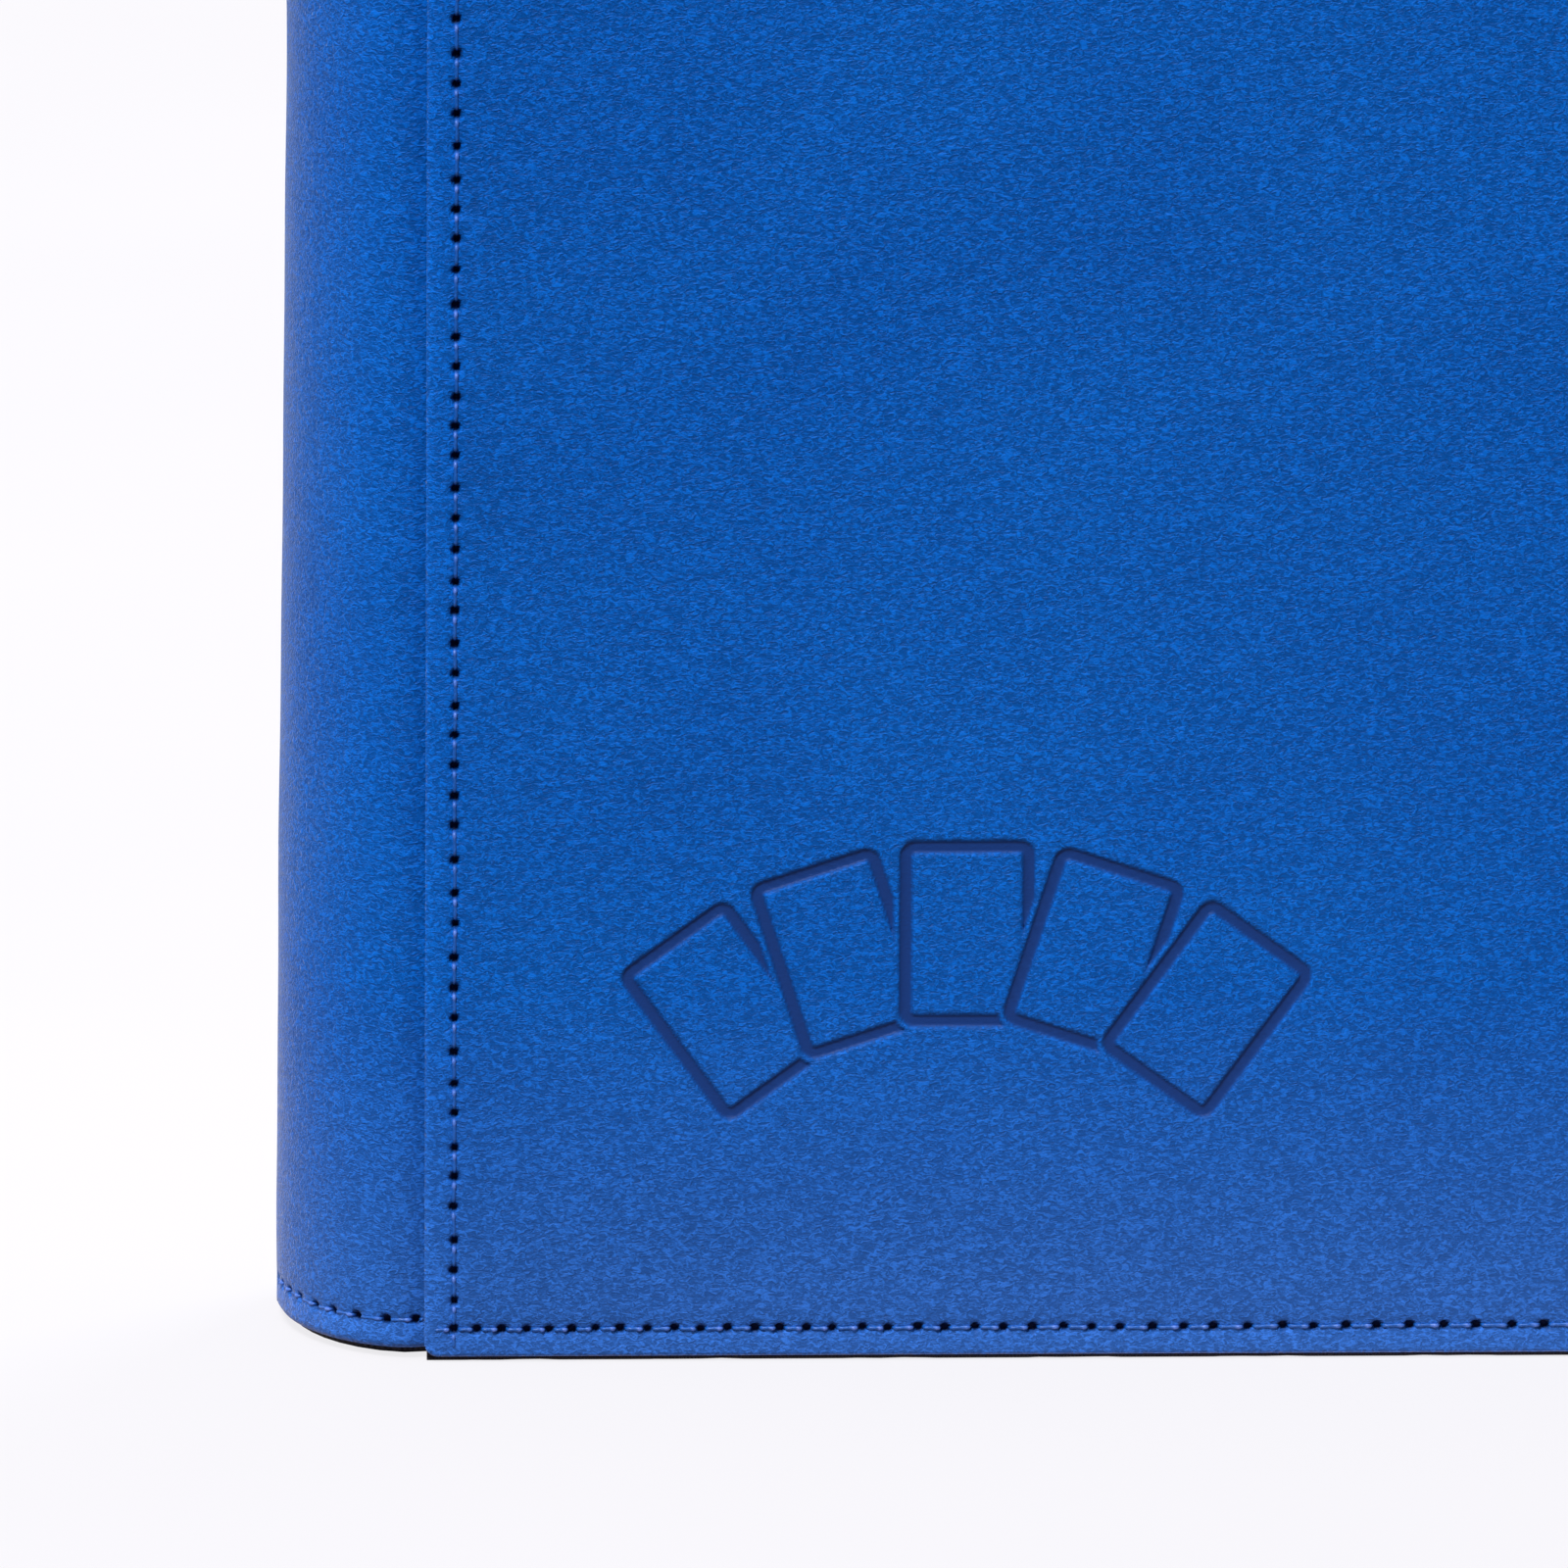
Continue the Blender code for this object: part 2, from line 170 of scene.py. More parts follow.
def spread(tree, source, low, high, out_low, out_high):
    made = node(tree, "ShaderNodeMapRange")
    set_inputs(made, From_Min=low, From_Max=high, To_Min=out_low, To_Max=out_high)
    tree.links.new(source, made.inputs["Value"])
    return made.outputs["Result"]


def mix(tree, factor, first, second, blend="MIX"):
    """A colour mix; factor, first and second are sockets or plain values."""
    made = node(tree, "ShaderNodeMix", data_type="RGBA", blend_type=blend)
    for place, value in ((0, factor), (6, first), (7, second)):
        plug(tree, value, made.inputs[place])
    return made.outputs[2]


def maths(tree, operation, first, second):
    made = node(tree, "ShaderNodeMath", operation=operation)
    plug(tree, first, made.inputs[0])
    plug(tree, second, made.inputs[1])
    return made.outputs[0]


def bump(tree, shader, height, distance):
    made = node(tree, "ShaderNodeBump")
    set_inputs(made, Distance=distance, Strength=1.0)
    tree.links.new(height, made.inputs["Height"])
    tree.links.new(made.outputs["Normal"], shader.inputs["Normal"])


def attribute(tree, name):
    return node(tree, "ShaderNodeAttribute", attribute_name=name).outputs["Fac"]


def leather_material():
    """Blue synthetic leather: fine wrinkled grain, a soft cloudy tone, a painted reflection of the pale floor
    that makes it paler towards the foot the binder stands on, a painted highlight on the strip between its
    edges and their stitches, pressed parts, and painted shade in its punched stitch holes."""
    material, tree, shader = shader_material("blue_leather", roughness=0.42, specular=0.09,
                                             Sheen_Weight=0.2, Sheen_Roughness=0.25)
    clouds = noise(tree, (30, 30, 38), detail=2, roughness=0.5)
    strokes = noise(tree, (1500, 1500, 2500), detail=2, roughness=0.55, distortion=1.1)
    wrinkles = noise(tree, (420, 420, 800), detail=1, roughness=0.5, distortion=0.8)
    base = ramp(tree, clouds, [(0.3, (0.0003, 0.079, 0.380)), (0.7, (0.0008, 0.090, 0.414))])
    height = node(tree, "ShaderNodeSeparateXYZ")
    tree.links.new(place_texture(tree, (1, 1, 1)), height.inputs[0])
    # Paler towards the foot, below FOOT_HEIGHT: a painted reflection of the pale floor.
    painted_floor_reflection = spread(tree, height.outputs["Z"], FOOT_HEIGHT, 0, 0, 1)
    base = mix(tree, painted_floor_reflection, base, (0.019, 0.096, 0.381))
    # Painted highlight: the strip between the leather's edge and its stitches is painted paler, as if it
    # caught the light.
    edge_strip_highlight = maths(tree, "ADD", 1.0, maths(tree, "MULTIPLY", attribute(tree, "edge_strip_highlight"), 0.12))
    fleck_tone = maths(tree, "MULTIPLY", spread(tree, strokes, 0.44, 0.64, 0.82, 1.55), edge_strip_highlight)
    toned = mix(tree, 1.0, base, fleck_tone, "MULTIPLY")
    pressed = mix(tree, attribute(tree, "pressed"), toned, (0.008, 0.038, 0.180))
    # The stitch holes' dark navy is painted shade.
    painted_hole_shade = mix(tree, attribute(tree, "painted_hole_shade"), pressed, (0.001, 0.008, 0.050))
    tree.links.new(painted_hole_shade, shader.inputs["Base Color"])
    grain = maths(tree, "ADD", strokes, maths(tree, "MULTIPLY", wrinkles, 0.4))
    flattened = maths(tree, "SUBTRACT", 1.0, maths(tree, "MULTIPLY", attribute(tree, "pressed"), 0.75))
    bump(tree, shader, maths(tree, "MULTIPLY", grain, flattened), 0.00022)
    tree.links.new(spread(tree, strokes, 0.3, 0.7, 0.40, 0.54), shader.inputs["Roughness"])
    return material


def thread_material():
    """Twisted polyester sewing thread in the leather's blue, paler where it stands up: a painted highlight.
    """
    material, tree, shader = shader_material("blue_thread", roughness=0.4, specular=0.35)
    strands = noise(tree, (3200, 3200, 3200), detail=1)
    plain = ramp(tree, strands, [(0.35, (0.003, 0.078, 0.36)), (0.65, (0.010, 0.105, 0.45))])
    # The paler blue where the thread stands up is a painted highlight.
    crest_painted_highlight = mix(tree, attribute(tree, "crest"), plain, (0.075, 0.175, 0.60))
    tree.links.new(crest_painted_highlight, shader.inputs["Base Color"])
    bump(tree, shader, strands, 0.00005)
    return material


def weave_height(tree, pitch):
    """Warp ridges along X or Y, crossed by weft ridges along Z, as one height."""
    waves = []
    for direction in "XYZ":
        wave = node(tree, "ShaderNodeTexWave", bands_direction=direction, wave_profile="SIN")
        wave.inputs["Scale"].default_value = 0.314 / pitch
        tree.links.new(node(tree, "ShaderNodeTexCoord").outputs["Object"], wave.inputs["Vector"])
        waves.append(wave.outputs["Fac"])
    pair = maths(tree, "MULTIPLY", waves[0], waves[2])
    return maths(tree, "ADD", pair, maths(tree, "MULTIPLY", waves[1], waves[2]))


def fabric_material(name, dark, light, pitch):
    material, tree, shader = shader_material(name, roughness=0.9, specular=0.1, Sheen_Weight=0.05)
    weave = weave_height(tree, pitch)
    fuzz = noise(tree, (1500, 1500, 1500), detail=2)
    tone = maths(tree, "ADD", maths(tree, "MULTIPLY", weave, 0.5), maths(tree, "MULTIPLY", fuzz, 0.5))
    tree.links.new(ramp(tree, tone, [(0.25, dark), (0.85, light)]), shader.inputs["Base Color"])
    bump(tree, shader, tone, 0.00012)
    return material


def plastic_material(name, dark, light, roughness, scale=900, depth=0.00003, **sockets):
    material, tree, shader = shader_material(name, roughness=roughness, **sockets)
    mottle = noise(tree, (scale, scale, scale), detail=3)
    tree.links.new(ramp(tree, mottle, [(0.3, dark), (0.7, light)]), shader.inputs["Base Color"])
    varied = spread(tree, mottle, 0.3, 0.7, roughness * 0.85, roughness * 1.15)
    tree.links.new(varied, shader.inputs["Roughness"])
    bump(tree, shader, mottle, depth)
    return material


def page_material():
    """Clear pocket film over a black sheet, duller and a little paler along its welds."""
    material, tree, shader = shader_material("pocket_film", specular=0.12,
                                             Coat_Weight=0.1, Coat_Roughness=0.2)
    mottle = noise(tree, (260, 260, 260), detail=3)
    weld = attribute(tree, "welded")
    film = ramp(tree, mottle, [(0.3, (0.010, 0.011, 0.014)), (0.7, (0.016, 0.018, 0.024))])
    seam = ramp(tree, mottle, [(0.3, (0.020, 0.021, 0.025)), (0.7, (0.030, 0.032, 0.038))])
    tree.links.new(mix(tree, weld, film, seam), shader.inputs["Base Color"])
    tree.links.new(spread(tree, weld, 0, 1, 0.34, 0.62), shader.inputs["Roughness"])
    bump(tree, shader, mottle, 0.00006)
    return material


def make_materials():
    return {
        "leather": leather_material(),
        "thread": thread_material(),
        "lining": fabric_material("black_lining", (0.006, 0.007, 0.011), (0.022, 0.025, 0.036), 0.0006),
        "tape": fabric_material("black_tape", (0.004, 0.005, 0.010), (0.022, 0.024, 0.036), 0.0004),
        "coil": plastic_material("black_coil", (0.010, 0.010, 0.013), (0.022, 0.022, 0.027), 0.35),
        "metal": plastic_material("black_enamel", (0.012, 0.012, 0.014), (0.022, 0.022, 0.026), 0.28,
                                  500, 0.00001, Coat_Weight=0.6, Coat_Roughness=0.12),
        "foam": plastic_material("black_foam", (0.016, 0.016, 0.018), (0.050, 0.050, 0.054), 0.95,
                                 1600, 0.0002),
        "board": plastic_material("black_board", (0.018, 0.018, 0.020), (0.040, 0.039, 0.042), 0.9,
                                  700, 0.00005),
        "page": page_material(),
    }


# ---------------------------------------------------------------- meshes

def mesh_object(name, points, faces, material, sharp=None):
    """A smooth mesh, with the edges that turn more than sharp degrees left sharp."""
    mesh = bpy.data.meshes.new(name)
    mesh.from_pydata([tuple(p) for p in points], [], faces)
    mesh.materials.append(material)
    mesh.shade_smooth()
    mesh.update()
    made = bpy.data.objects.new(name, mesh)
    bpy.context.scene.collection.objects.link(made)
    if sharp:
        mesh.set_sharp_from_angle(angle=math.radians(sharp))
    return made


def point_attribute(obj, name, values):
    """Gives the mesh's first points these values, and the rest 0."""
    every = np.zeros(len(obj.data.vertices), np.float32)
    every[:len(values)] = values
    obj.data.attributes.new(name, "FLOAT", "POINT").data.foreach_set("value", every)


def place_piece(piece, body, node_name=None):
    """The piece rides on a body, and may stand for a CAD node."""
    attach(piece, body)
    if node_name:
        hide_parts(node_name)


def ring_faces(rings, sides, base=0):
    """Quads between points that go round ring after ring."""
    faces = []
    for ring in range(rings - 1):
        for k in range(sides):
            a, b = base + ring * sides + k, base + ring * sides + (k + 1) % sides
            faces.append([a, b, b + sides, a + sides])
    return faces


def tube_faces(rings, sides, base=0):
    """The same, closed at both ends."""
    near = [base + k for k in range(sides)]
    far = [base + (rings - 1) * sides + k for k in range(sides)]
    return ring_faces(rings, sides, base) + [near[::-1], far]


def border_distance(flat, width, height):
    """How far each point is from a rectangle's nearest edge."""
    return np.minimum(np.minimum(flat[:, 0], width - flat[:, 0]),
                      np.minimum(flat[:, 1], height - flat[:, 1]))


def rolled_edge(distance, lip):
    """How far a quarter-round lip drops, at a distance in from the edge."""
    fall = np.maximum(lip - distance, 0)
    return lip - np.sqrt(np.maximum(lip * lip - fall * fall, 0))


def plane_surface(origin, first, second, out):
    """Turns places on a flat sheet, and lifts above it, into points and outward directions."""
    origin, first, second, out = (np.array(v, float) for v in (origin, first, second, out))

    def surface(flat, lift):
        points = origin + flat[:, :1] * first + flat[:, 1:] * second + np.reshape(lift, (-1, 1)) * out
        return points, np.tile(out, (len(flat), 1))
    return surface


def adaptive_cells(columns, rows, levels, finer):
    """Cells on a grid, each split in four up to levels times where finer(centres, level) says so.

    Places are in the finest cell's units.  Returns [(lower left corners, size), ...].
    """
    size = 2 ** levels
    j, i = np.mgrid[0:rows, 0:columns]
    pending = np.stack([i.ravel(), j.ravel()], axis=1) * size
    cells = []
    for level in range(levels):
        split = finer(pending + size / 2, level)
        cells.append((pending[~split], size))
        size //= 2
        corners = pending[split]
        pending = np.concatenate([corners + np.array((a, b)) * size for b in (0, 1) for a in (0, 1)])
    cells.append((pending, size))
    return cells


def cell_faces(cells, span):
    """Vertices and faces of adaptive cells: a big cell takes its small neighbours' corners in."""
    keys = []
    for corners, size in cells:
        for a, b in ((0, 0), (size, 0), (size, size), (0, size)):
            keys.append((corners[:, 0] + a) * span + corners[:, 1] + b)
    keys = np.unique(np.concatenate(keys))
    faces = []
    for corners, size in cells:
        if not len(corners):
            continue
        steps = [(k, 0) for k in range(size)] + [(size, k) for k in range(size)]
        steps += [(size - k, size) for k in range(size)] + [(0, size - k) for k in range(size)]
        wanted = np.stack([(corners[:, 0] + a) * span + corners[:, 1] + b for a, b in steps], axis=1)
        found = np.minimum(np.searchsorted(keys, wanted), len(keys) - 1)
        real = keys[found] == wanted
        faces += [row[mask].tolist() for row, mask in zip(found, real)]
    return np.stack([keys // span, keys % span], axis=1), faces


def rim_order(grid, width, height):
    """The border vertices of a grid, in order round it, starting at its lower left corner."""
    i, j = grid[:, 0], grid[:, 1]
    index = np.arange(len(grid))
    bottom = index[j == 0][np.argsort(i[j == 0])]
    right = index[i == width][np.argsort(j[i == width])]
    top = index[j == height][np.argsort(-i[j == height])]
    left = index[i == 0][np.argsort(-j[i == 0])]
    return np.concatenate([bottom[:-1], right[:-1], top[:-1], left[:-1]])


class Sheet:
    """A sheet of leather or cloth on a surface: adaptive cells, with a thickness."""

    def __init__(self, width, height, cell, levels=0, finer=None):
        columns, rows = max(1, round(width / cell)), max(1, round(height / cell))
        unit = 2 ** levels
        step = np.array((width / columns, height / rows)) / unit
        cells = adaptive_cells(columns, rows, levels, lambda centres, level: finer(centres * step, level))
        grid, self.faces = cell_faces(cells, rows * unit + 1)
        self.flat = grid * step
        self.rim = rim_order(grid, columns * unit, rows * unit)

    def solid(self, name, outer, inner, material, flip=False, flat_back=False):
        """The closed solid between the outer points and the inner points."""
        count = len(self.flat)
        faces = [list(face) for face in self.faces]
        rim = self.rim
        following = np.roll(rim, -1)
        if flat_back:
            centre = inner[rim].mean(axis=0)
            edge = inner[rim]
            ring = centre + (edge - centre) * 0.97
            points = np.concatenate([outer, edge, ring])
            around = np.arange(len(rim))
            nexts = np.roll(around, -1)
            faces += [[a, count + i, count + j, b] for a, b, i, j in zip(rim, following, around, nexts)]
            far = count + len(rim)
            faces += [[count + i, far + i, far + j, count + j] for i, j in zip(around, nexts)]
            faces.append((far + around[::-1]).tolist())
        else:
            points = np.concatenate([outer, inner])
            faces += [[count + v for v in face[::-1]] for face in self.faces]
            faces += [[a, count + a, count + b, b] for a, b in zip(rim, following)]
        if flip:
            faces = [face[::-1] for face in faces]
        return mesh_object(name, points, faces, material, sharp=70)


def unit(vectors):
    return vectors / np.linalg.norm(vectors, axis=1)[:, None]


def smoothstep(value, low, high):
    t = np.clip((value - low) / (high - low), 0, 1)
    return t * t * (3 - 2 * t)


def rounded(flat, width, height, near_radius, far_radius):
    """Bends a rectangle's corners round: near ones at its left, far ones at its right."""
    result = flat.astype(float).copy()
    ends = ((near_radius, near_radius, -1), (far_radius, width - far_radius, 1))
    for radius, centre_x, side_x in ends:
        for centre_z, side_z in ((radius, -1), (height - radius, 1)):
            a = side_x * (flat[:, 0] - centre_x)
            b = side_z * (flat[:, 1] - centre_z)
            inside = (a > 0) & (b > 0)
            far = np.maximum(a, b)
            safe_a, safe_b = np.maximum(a, 1e-12), np.maximum(b, 1e-12)
            angle = np.where(a >= b, b / safe_a, 2 - a / safe_b) * math.pi / 4
            result[inside, 0] = (centre_x + side_x * far * np.cos(angle))[inside]
            result[inside, 1] = (centre_z + side_z * far * np.sin(angle))[inside]
    return result


# ---------------------------------------------------------------- stitches

def walk(line, pitches):
    """Points along a line of points, one for each pitch, with the line's direction there."""
    line = np.asarray(line, float)
    along = np.concatenate([[0], np.cumsum(np.linalg.norm(np.diff(line, axis=0), axis=1))])
    places = [0.0]
    while places[-1] < along[-1]:
        places.append(places[-1] + pitches(places[-1] / along[-1]))
    places = np.array(places[:-1])
    places *= along[-1] / places[-1]

    def at(distance):
        return np.stack([np.interp(distance, along, line[:, k]) for k in range(2)], axis=1)

    heading = at(places + 1e-5) - at(places - 1e-5)
    return at(places), unit(heading)


def arc(centre, radius, start, end):
    angles = np.radians(np.linspace(start, end, 13))
    return [(centre[0] + radius * math.cos(a), centre[1] + radius * math.sin(a)) for a in angles]


class Stitches:
    """The holes of one sewn line on a sheet, and the thread between them.

    crest is the end of each stitch, 0 or 1, where the thread stands up out of its hole.
    size is 1 for the binder's own thread.
    tails are stitches that run off the line's holes and over an edge.
    """

    def __init__(self, line, pitch_start, pitch_end, seed, crest=0, tails=(), size=1.0):
        chance = random.Random(seed)

        def pitches(share):
            growth = min(1.0, share * 6.0)
            return (pitch_start + (pitch_end - pitch_start) * growth) * chance.uniform(0.90, 1.10)

        self.points, self.heading = walk(line, pitches)
        wander = np.array([(chance.uniform(-1, 1), chance.uniform(-1, 1)) for _ in self.points])
        self.points = self.points + wander * 0.07 * MM
        self.size = size
        self.scale = size * np.array([chance.uniform(0.88, 1.1) for _ in self.points])
        self.spans = list(zip(self.points[:-1], self.points[1:]))
        self.spans += [(np.array(a), np.array(b)) for a, b in tails]
        self.lifts = [chance.uniform(0.5, 1.3) for _ in self.spans]
        self.crest = crest


def hole_field(flat, lines):
    """For each point: how far it is from the nearest hole's middle in hole sizes, and in metres."""
    share = np.full(len(flat), 99.0)
    metres = np.full(len(flat), 99.0)
    for line in lines:
        for start in range(0, len(flat), 8000):
            part = slice(start, start + 8000)
            off = flat[part, None, :] - line.points[None, :, :]
            along = (off * line.heading[None]).sum(-1)
            across = off[..., 0] * line.heading[None, :, 1] - off[..., 1] * line.heading[None, :, 0]
            ratio = np.hypot(along / HOLE_HALF_LENGTH, across / HOLE_HALF_WIDTH) / line.scale[None]
            share[part] = np.minimum(share[part], ratio.min(axis=1))
            metres[part] = np.minimum(metres[part], np.hypot(along, across).min(axis=1))
    return share, metres


def line_distance(flat, lines):
    """How far each point is from the nearest sewn line."""
    best = np.full(len(flat), 99.0)
    for line in lines:
        starts, ends = line.points[:-1], line.points[1:]
        step = ends - starts
        for first in range(0, len(flat), 8000):
            part = slice(first, first + 8000)
            off = flat[part, None, :] - starts[None]
            t = np.clip((off * step).sum(-1) / (step * step).sum(-1), 0, 1)
            away = np.linalg.norm(off - t[..., None] * step[None], axis=-1)
            best[part] = np.minimum(best[part], away.min(axis=1))
    return best


def sewn_relief(flat, lines):
    """How deep the thread pulls the leather down, and how much of each point is inside a hole."""
    share, metres = hole_field(flat, lines)
    groove = line_distance(flat, lines)
    inside = 1 - smoothstep(share, 0.72, 1.08)
    size = lines[0].size
    depth = 0.16 * MM * size * np.exp(-(groove / (0.75 * MM * size)) ** 2)
    depth += 0.16 * MM * size * np.exp(-(metres / (1.0 * MM * size)) ** 2)
    depth += HOLE_DEPTH * size * inside
    return depth, inside


def thread_mesh(name, jobs, material):
    """Every stitch of some lines as short twisted threads: jobs are (stitches, surface)."""
    points, faces, crests = [], [], []
    sides, rings = 8, 12
    shares = np.linspace(0, 1, rings)
    for line, surface in jobs:
        for (first, last), size in zip(line.spans, line.lifts):
            length = np.linalg.norm(last - first)
            margin = HOLE_HALF_LENGTH * line.size * 0.95 / length
            path = first + (last - first) * (margin + (1 - 2 * margin) * shares)[:, None]
            ends = np.minimum(shares, 1 - shares) * length
            dive = np.clip(1 - ends / (0.35 * MM), 0, 1) ** 2
            crest = np.exp(-((shares - (0.16 if line.crest == 0 else 0.84)) / 0.10) ** 2)
            lift = (-0.25 * MM - 0.5 * MM * dive + 0.12 * MM * crest * size) * line.size
            centre, out = surface(path, lift)
            along = unit(np.gradient(centre, axis=0))
            side = unit(np.cross(along, out))
            up = np.cross(side, along)
            base = len(points)
            for ring in range(rings):
                for k in range(sides):
                    angle = 2 * math.pi * k / sides
                    ply = 1 + 0.12 * math.cos(2 * (angle - 5.0 * ring / rings)) + 0.08 * crest[ring]
                    across = side[ring] * math.cos(angle) + up[ring] * math.sin(angle)
                    points.append(centre[ring] + THREAD_RADIUS * line.size * ply * across)
                # crest also sets how much painted highlight the thread's material puts on each point.
                crests += [crest[ring] * size] * sides
            faces += tube_faces(rings, sides, base)
    made = mesh_object(name, points, faces, material)
    point_attribute(made, "crest", crests)
    return made


# ---------------------------------------------------------------- the covers' leather

def card_shape(flat, angle):
    """Signed distance to one card of the fan, negative inside it."""
    turn = math.radians(angle)
    middle = np.array(MOTIF_CENTRE) + CARD_PIVOT * np.array((math.sin(turn), math.cos(turn) - 1))
    off = flat - middle
    across = off[:, 0] * math.cos(turn) - off[:, 1] * math.sin(turn)
    along = off[:, 0] * math.sin(turn) + off[:, 1] * math.cos(turn)
    over_x = np.abs(across) - CARD_SIZE[0] / 2 + CARD_CORNER
    over_z = np.abs(along) - CARD_SIZE[1] / 2 + CARD_CORNER
    outside = np.hypot(np.maximum(over_x, 0), np.maximum(over_z, 0))
    return outside + np.minimum(np.maximum(over_x, over_z), 0) - CARD_CORNER


def motif_shape(flat):
    """Signed distance to the pressed strokes: a fan of blank cards, each in front of the last."""
    cards = [card_shape(flat, angle) for angle in CARD_ANGLES]
    result = np.full(len(flat), 99.0)
    for index, card in enumerate(cards):
        stroke = np.maximum(card, -card - CARD_STROKE)
        for other in cards[index + 1:]:
            stroke = np.maximum(stroke, -other + 0.5 * MM)
        result = np.minimum(result, stroke)
    return result


def cover_lines(side):
    """The seam line beside the spine, and the line along the bottom, fore edge and top."""
    top = PANEL_HEIGHT - EDGE_INSET
    seam = [(SEAM_INSET, top), (SEAM_INSET, EDGE_INSET)]
    radius = FORE_RADIUS - EDGE_INSET
    corner = PANEL_WIDTH - FORE_RADIUS
    edge = [(SEAM_INSET, EDGE_INSET)]
    edge += arc((corner, FORE_RADIUS), radius, 270, 360)
    edge += arc((corner, PANEL_HEIGHT - FORE_RADIUS), radius, 0, 90)
    edge.append((SEAM_INSET, top))
    seed = 11 if side < 0 else 31
    off = 0.5 * MM
    over_ends = [((SEAM_INSET, PANEL_HEIGHT - off), seam[0]), (seam[1], (SEAM_INSET, off))]
    over_cut = [((off, z), (SEAM_INSET, z)) for z in (EDGE_INSET, top)]
    return [Stitches(seam, 3.5 * MM, 3.5 * MM, seed, tails=over_ends),
            Stitches(edge, 2.6 * MM, 4.1 * MM, seed + 1, crest=1, tails=over_cut)]


def unevenness(flat, phase):
    """The slight waves of a sheet glued over foam."""
    x, z = flat[:, 0], flat[:, 1]
    waves = np.sin(x * 92 + z * 37 + phase) + np.sin(z * 121 - x * 53 + 2.1 * phase)
    waves += 0.6 * np.sin(x * 210 + z * 160 + 0.7 * phase) + 0.6 * np.sin(z * 260 - x * 140 + phase)
    return waves * 0.035 * MM


def cover_leather(prefix, side, materials):
    """A cover's leather panel and its thread; the front one has the pressed motif."""
    lines = cover_lines(side)
    with_motif = side < 0

    def feature_distance(flat):
        bent = rounded(flat, PANEL_WIDTH, PANEL_HEIGHT, SEWN_RADIUS, FORE_RADIUS)
        return border_distance(flat, PANEL_WIDTH, PANEL_HEIGHT), bent

    def finer(flat, level):
        border, bent = feature_distance(flat)
        _, metres = hole_field(bent, lines)
        split = (metres < HOLE_REACH[level]) | (border < EDGE_REACH[level])
        if with_motif:
            split |= np.abs(motif_shape(bent)) < MOTIF_REACH[level]
        return split

    sheet = Sheet(PANEL_WIDTH, PANEL_HEIGHT, SHEET_CELL, SHEET_LEVELS, finer)
    border, bent = feature_distance(sheet.flat)
    depth, inside = sewn_relief(bent, lines)
    depth += rolled_edge(border, LIP)
    lift = unevenness(bent, 1.3 + side) * smoothstep(border, 1 * MM, 12 * MM)
    lift += 0.25 * MM * smoothstep(border, 5 * MM, 22 * MM) - 0.1 * MM
    lift -= 0.16 * MM * (1 - np.clip(border / SEAM_INSET, 0, 1))
    pressed = np.zeros(len(bent))
    if with_motif:
        pressed = 1 - smoothstep(motif_shape(bent), -0.22 * MM, 0.10 * MM)
        depth += MOTIF_DEPTH * pressed
    surface = plane_surface((SEAM_X, side * FACE_Y, PANEL_BOTTOM), (1, 0, 0), (0, 0, 1), (0, side, 0))
    outer, _ = surface(bent, lift - depth)
    inner, _ = surface(bent, -LEATHER)
    piece = sheet.solid(f"{prefix}_cover_panel", outer, inner, materials["leather"],
                        flip=side > 0, flat_back=True)
    point_attribute(piece, "pressed", pressed)
    # How much painted shade each point's stitch hole gets.
    point_attribute(piece, "painted_hole_shade", inside)
    # How much painted highlight each point of the edge strip gets.
    point_attribute(piece, "edge_strip_highlight", 1 - smoothstep(border, SEAM_INSET - 0.5 * MM, SEAM_INSET + 0.5 * MM))
    place_piece(piece, f"{prefix}_cover", f"{prefix}_cover_leather")
    thread = thread_mesh(f"{prefix}_cover_thread", [(line, surface) for line in lines], materials["thread"])
    place_piece(thread, f"{prefix}_cover")


# ---------------------------------------------------------------- the spine's leather

class SpineCurve:
    """The spine's half round in plan, measured along its leather from the middle outwards."""

    def __init__(self, inset):
        self.reach = SEAM_X - SPINE_LOW[0] - inset
        self.half = -SPINE_LOW[1] - inset
        angle = np.linspace(0, math.pi / 2, 400)
        x = -self.reach * np.cos(angle)
        y = self.half * np.sin(angle)
        self.angle = angle
        self.along = np.concatenate([[0], np.cumsum(np.hypot(np.diff(x), np.diff(y)))])
        self.length = self.along[-1]

    def place(self, distance, side, belly):
        """X, Y and the outward direction at a distance from the middle, towards side."""
        angle = np.interp(distance, self.along, self.angle)
        past = np.maximum(distance - self.length, 0)
        x = SEAM_X - self.reach * belly * np.cos(angle) + past
        y = side * self.half * np.sin(angle)
        normal = np.stack([-np.cos(angle) * self.half, side * np.sin(angle) * self.reach], axis=1)
        return x, y, unit(normal)


def spine_surface(side, inset, bottom):
    """Like plane_surface, for a layer of the spine that lies inset under its leather's face."""
    curve = SpineCurve(inset)
    height = SPINE_HIGH[2] - SPINE_LOW[2]

    def surface(flat, lift):
        z = bottom + flat[:, 1]
        belly = BELLY_AT_ENDS - BELLY_DROP * np.sin(math.pi * (z - SPINE_LOW[2]) / height) ** 2
        x, y, normal = curve.place(flat[:, 0], side, belly)
        tucked = 0.9 * MM * smoothstep(flat[:, 0] - curve.length, -3.2 * MM, 1.8 * MM)
        x = x + normal[:, 0] * lift
        y = y + normal[:, 1] * lift - side * tucked
        out = np.stack([normal[:, 0], normal[:, 1], np.zeros(len(x))], axis=1)
        return np.stack([x, y, z], axis=1), out
    return surface, curve


def blend_half(piece):
    """Half of the spine's covering, with its transform baked into its mesh."""
    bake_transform(piece)


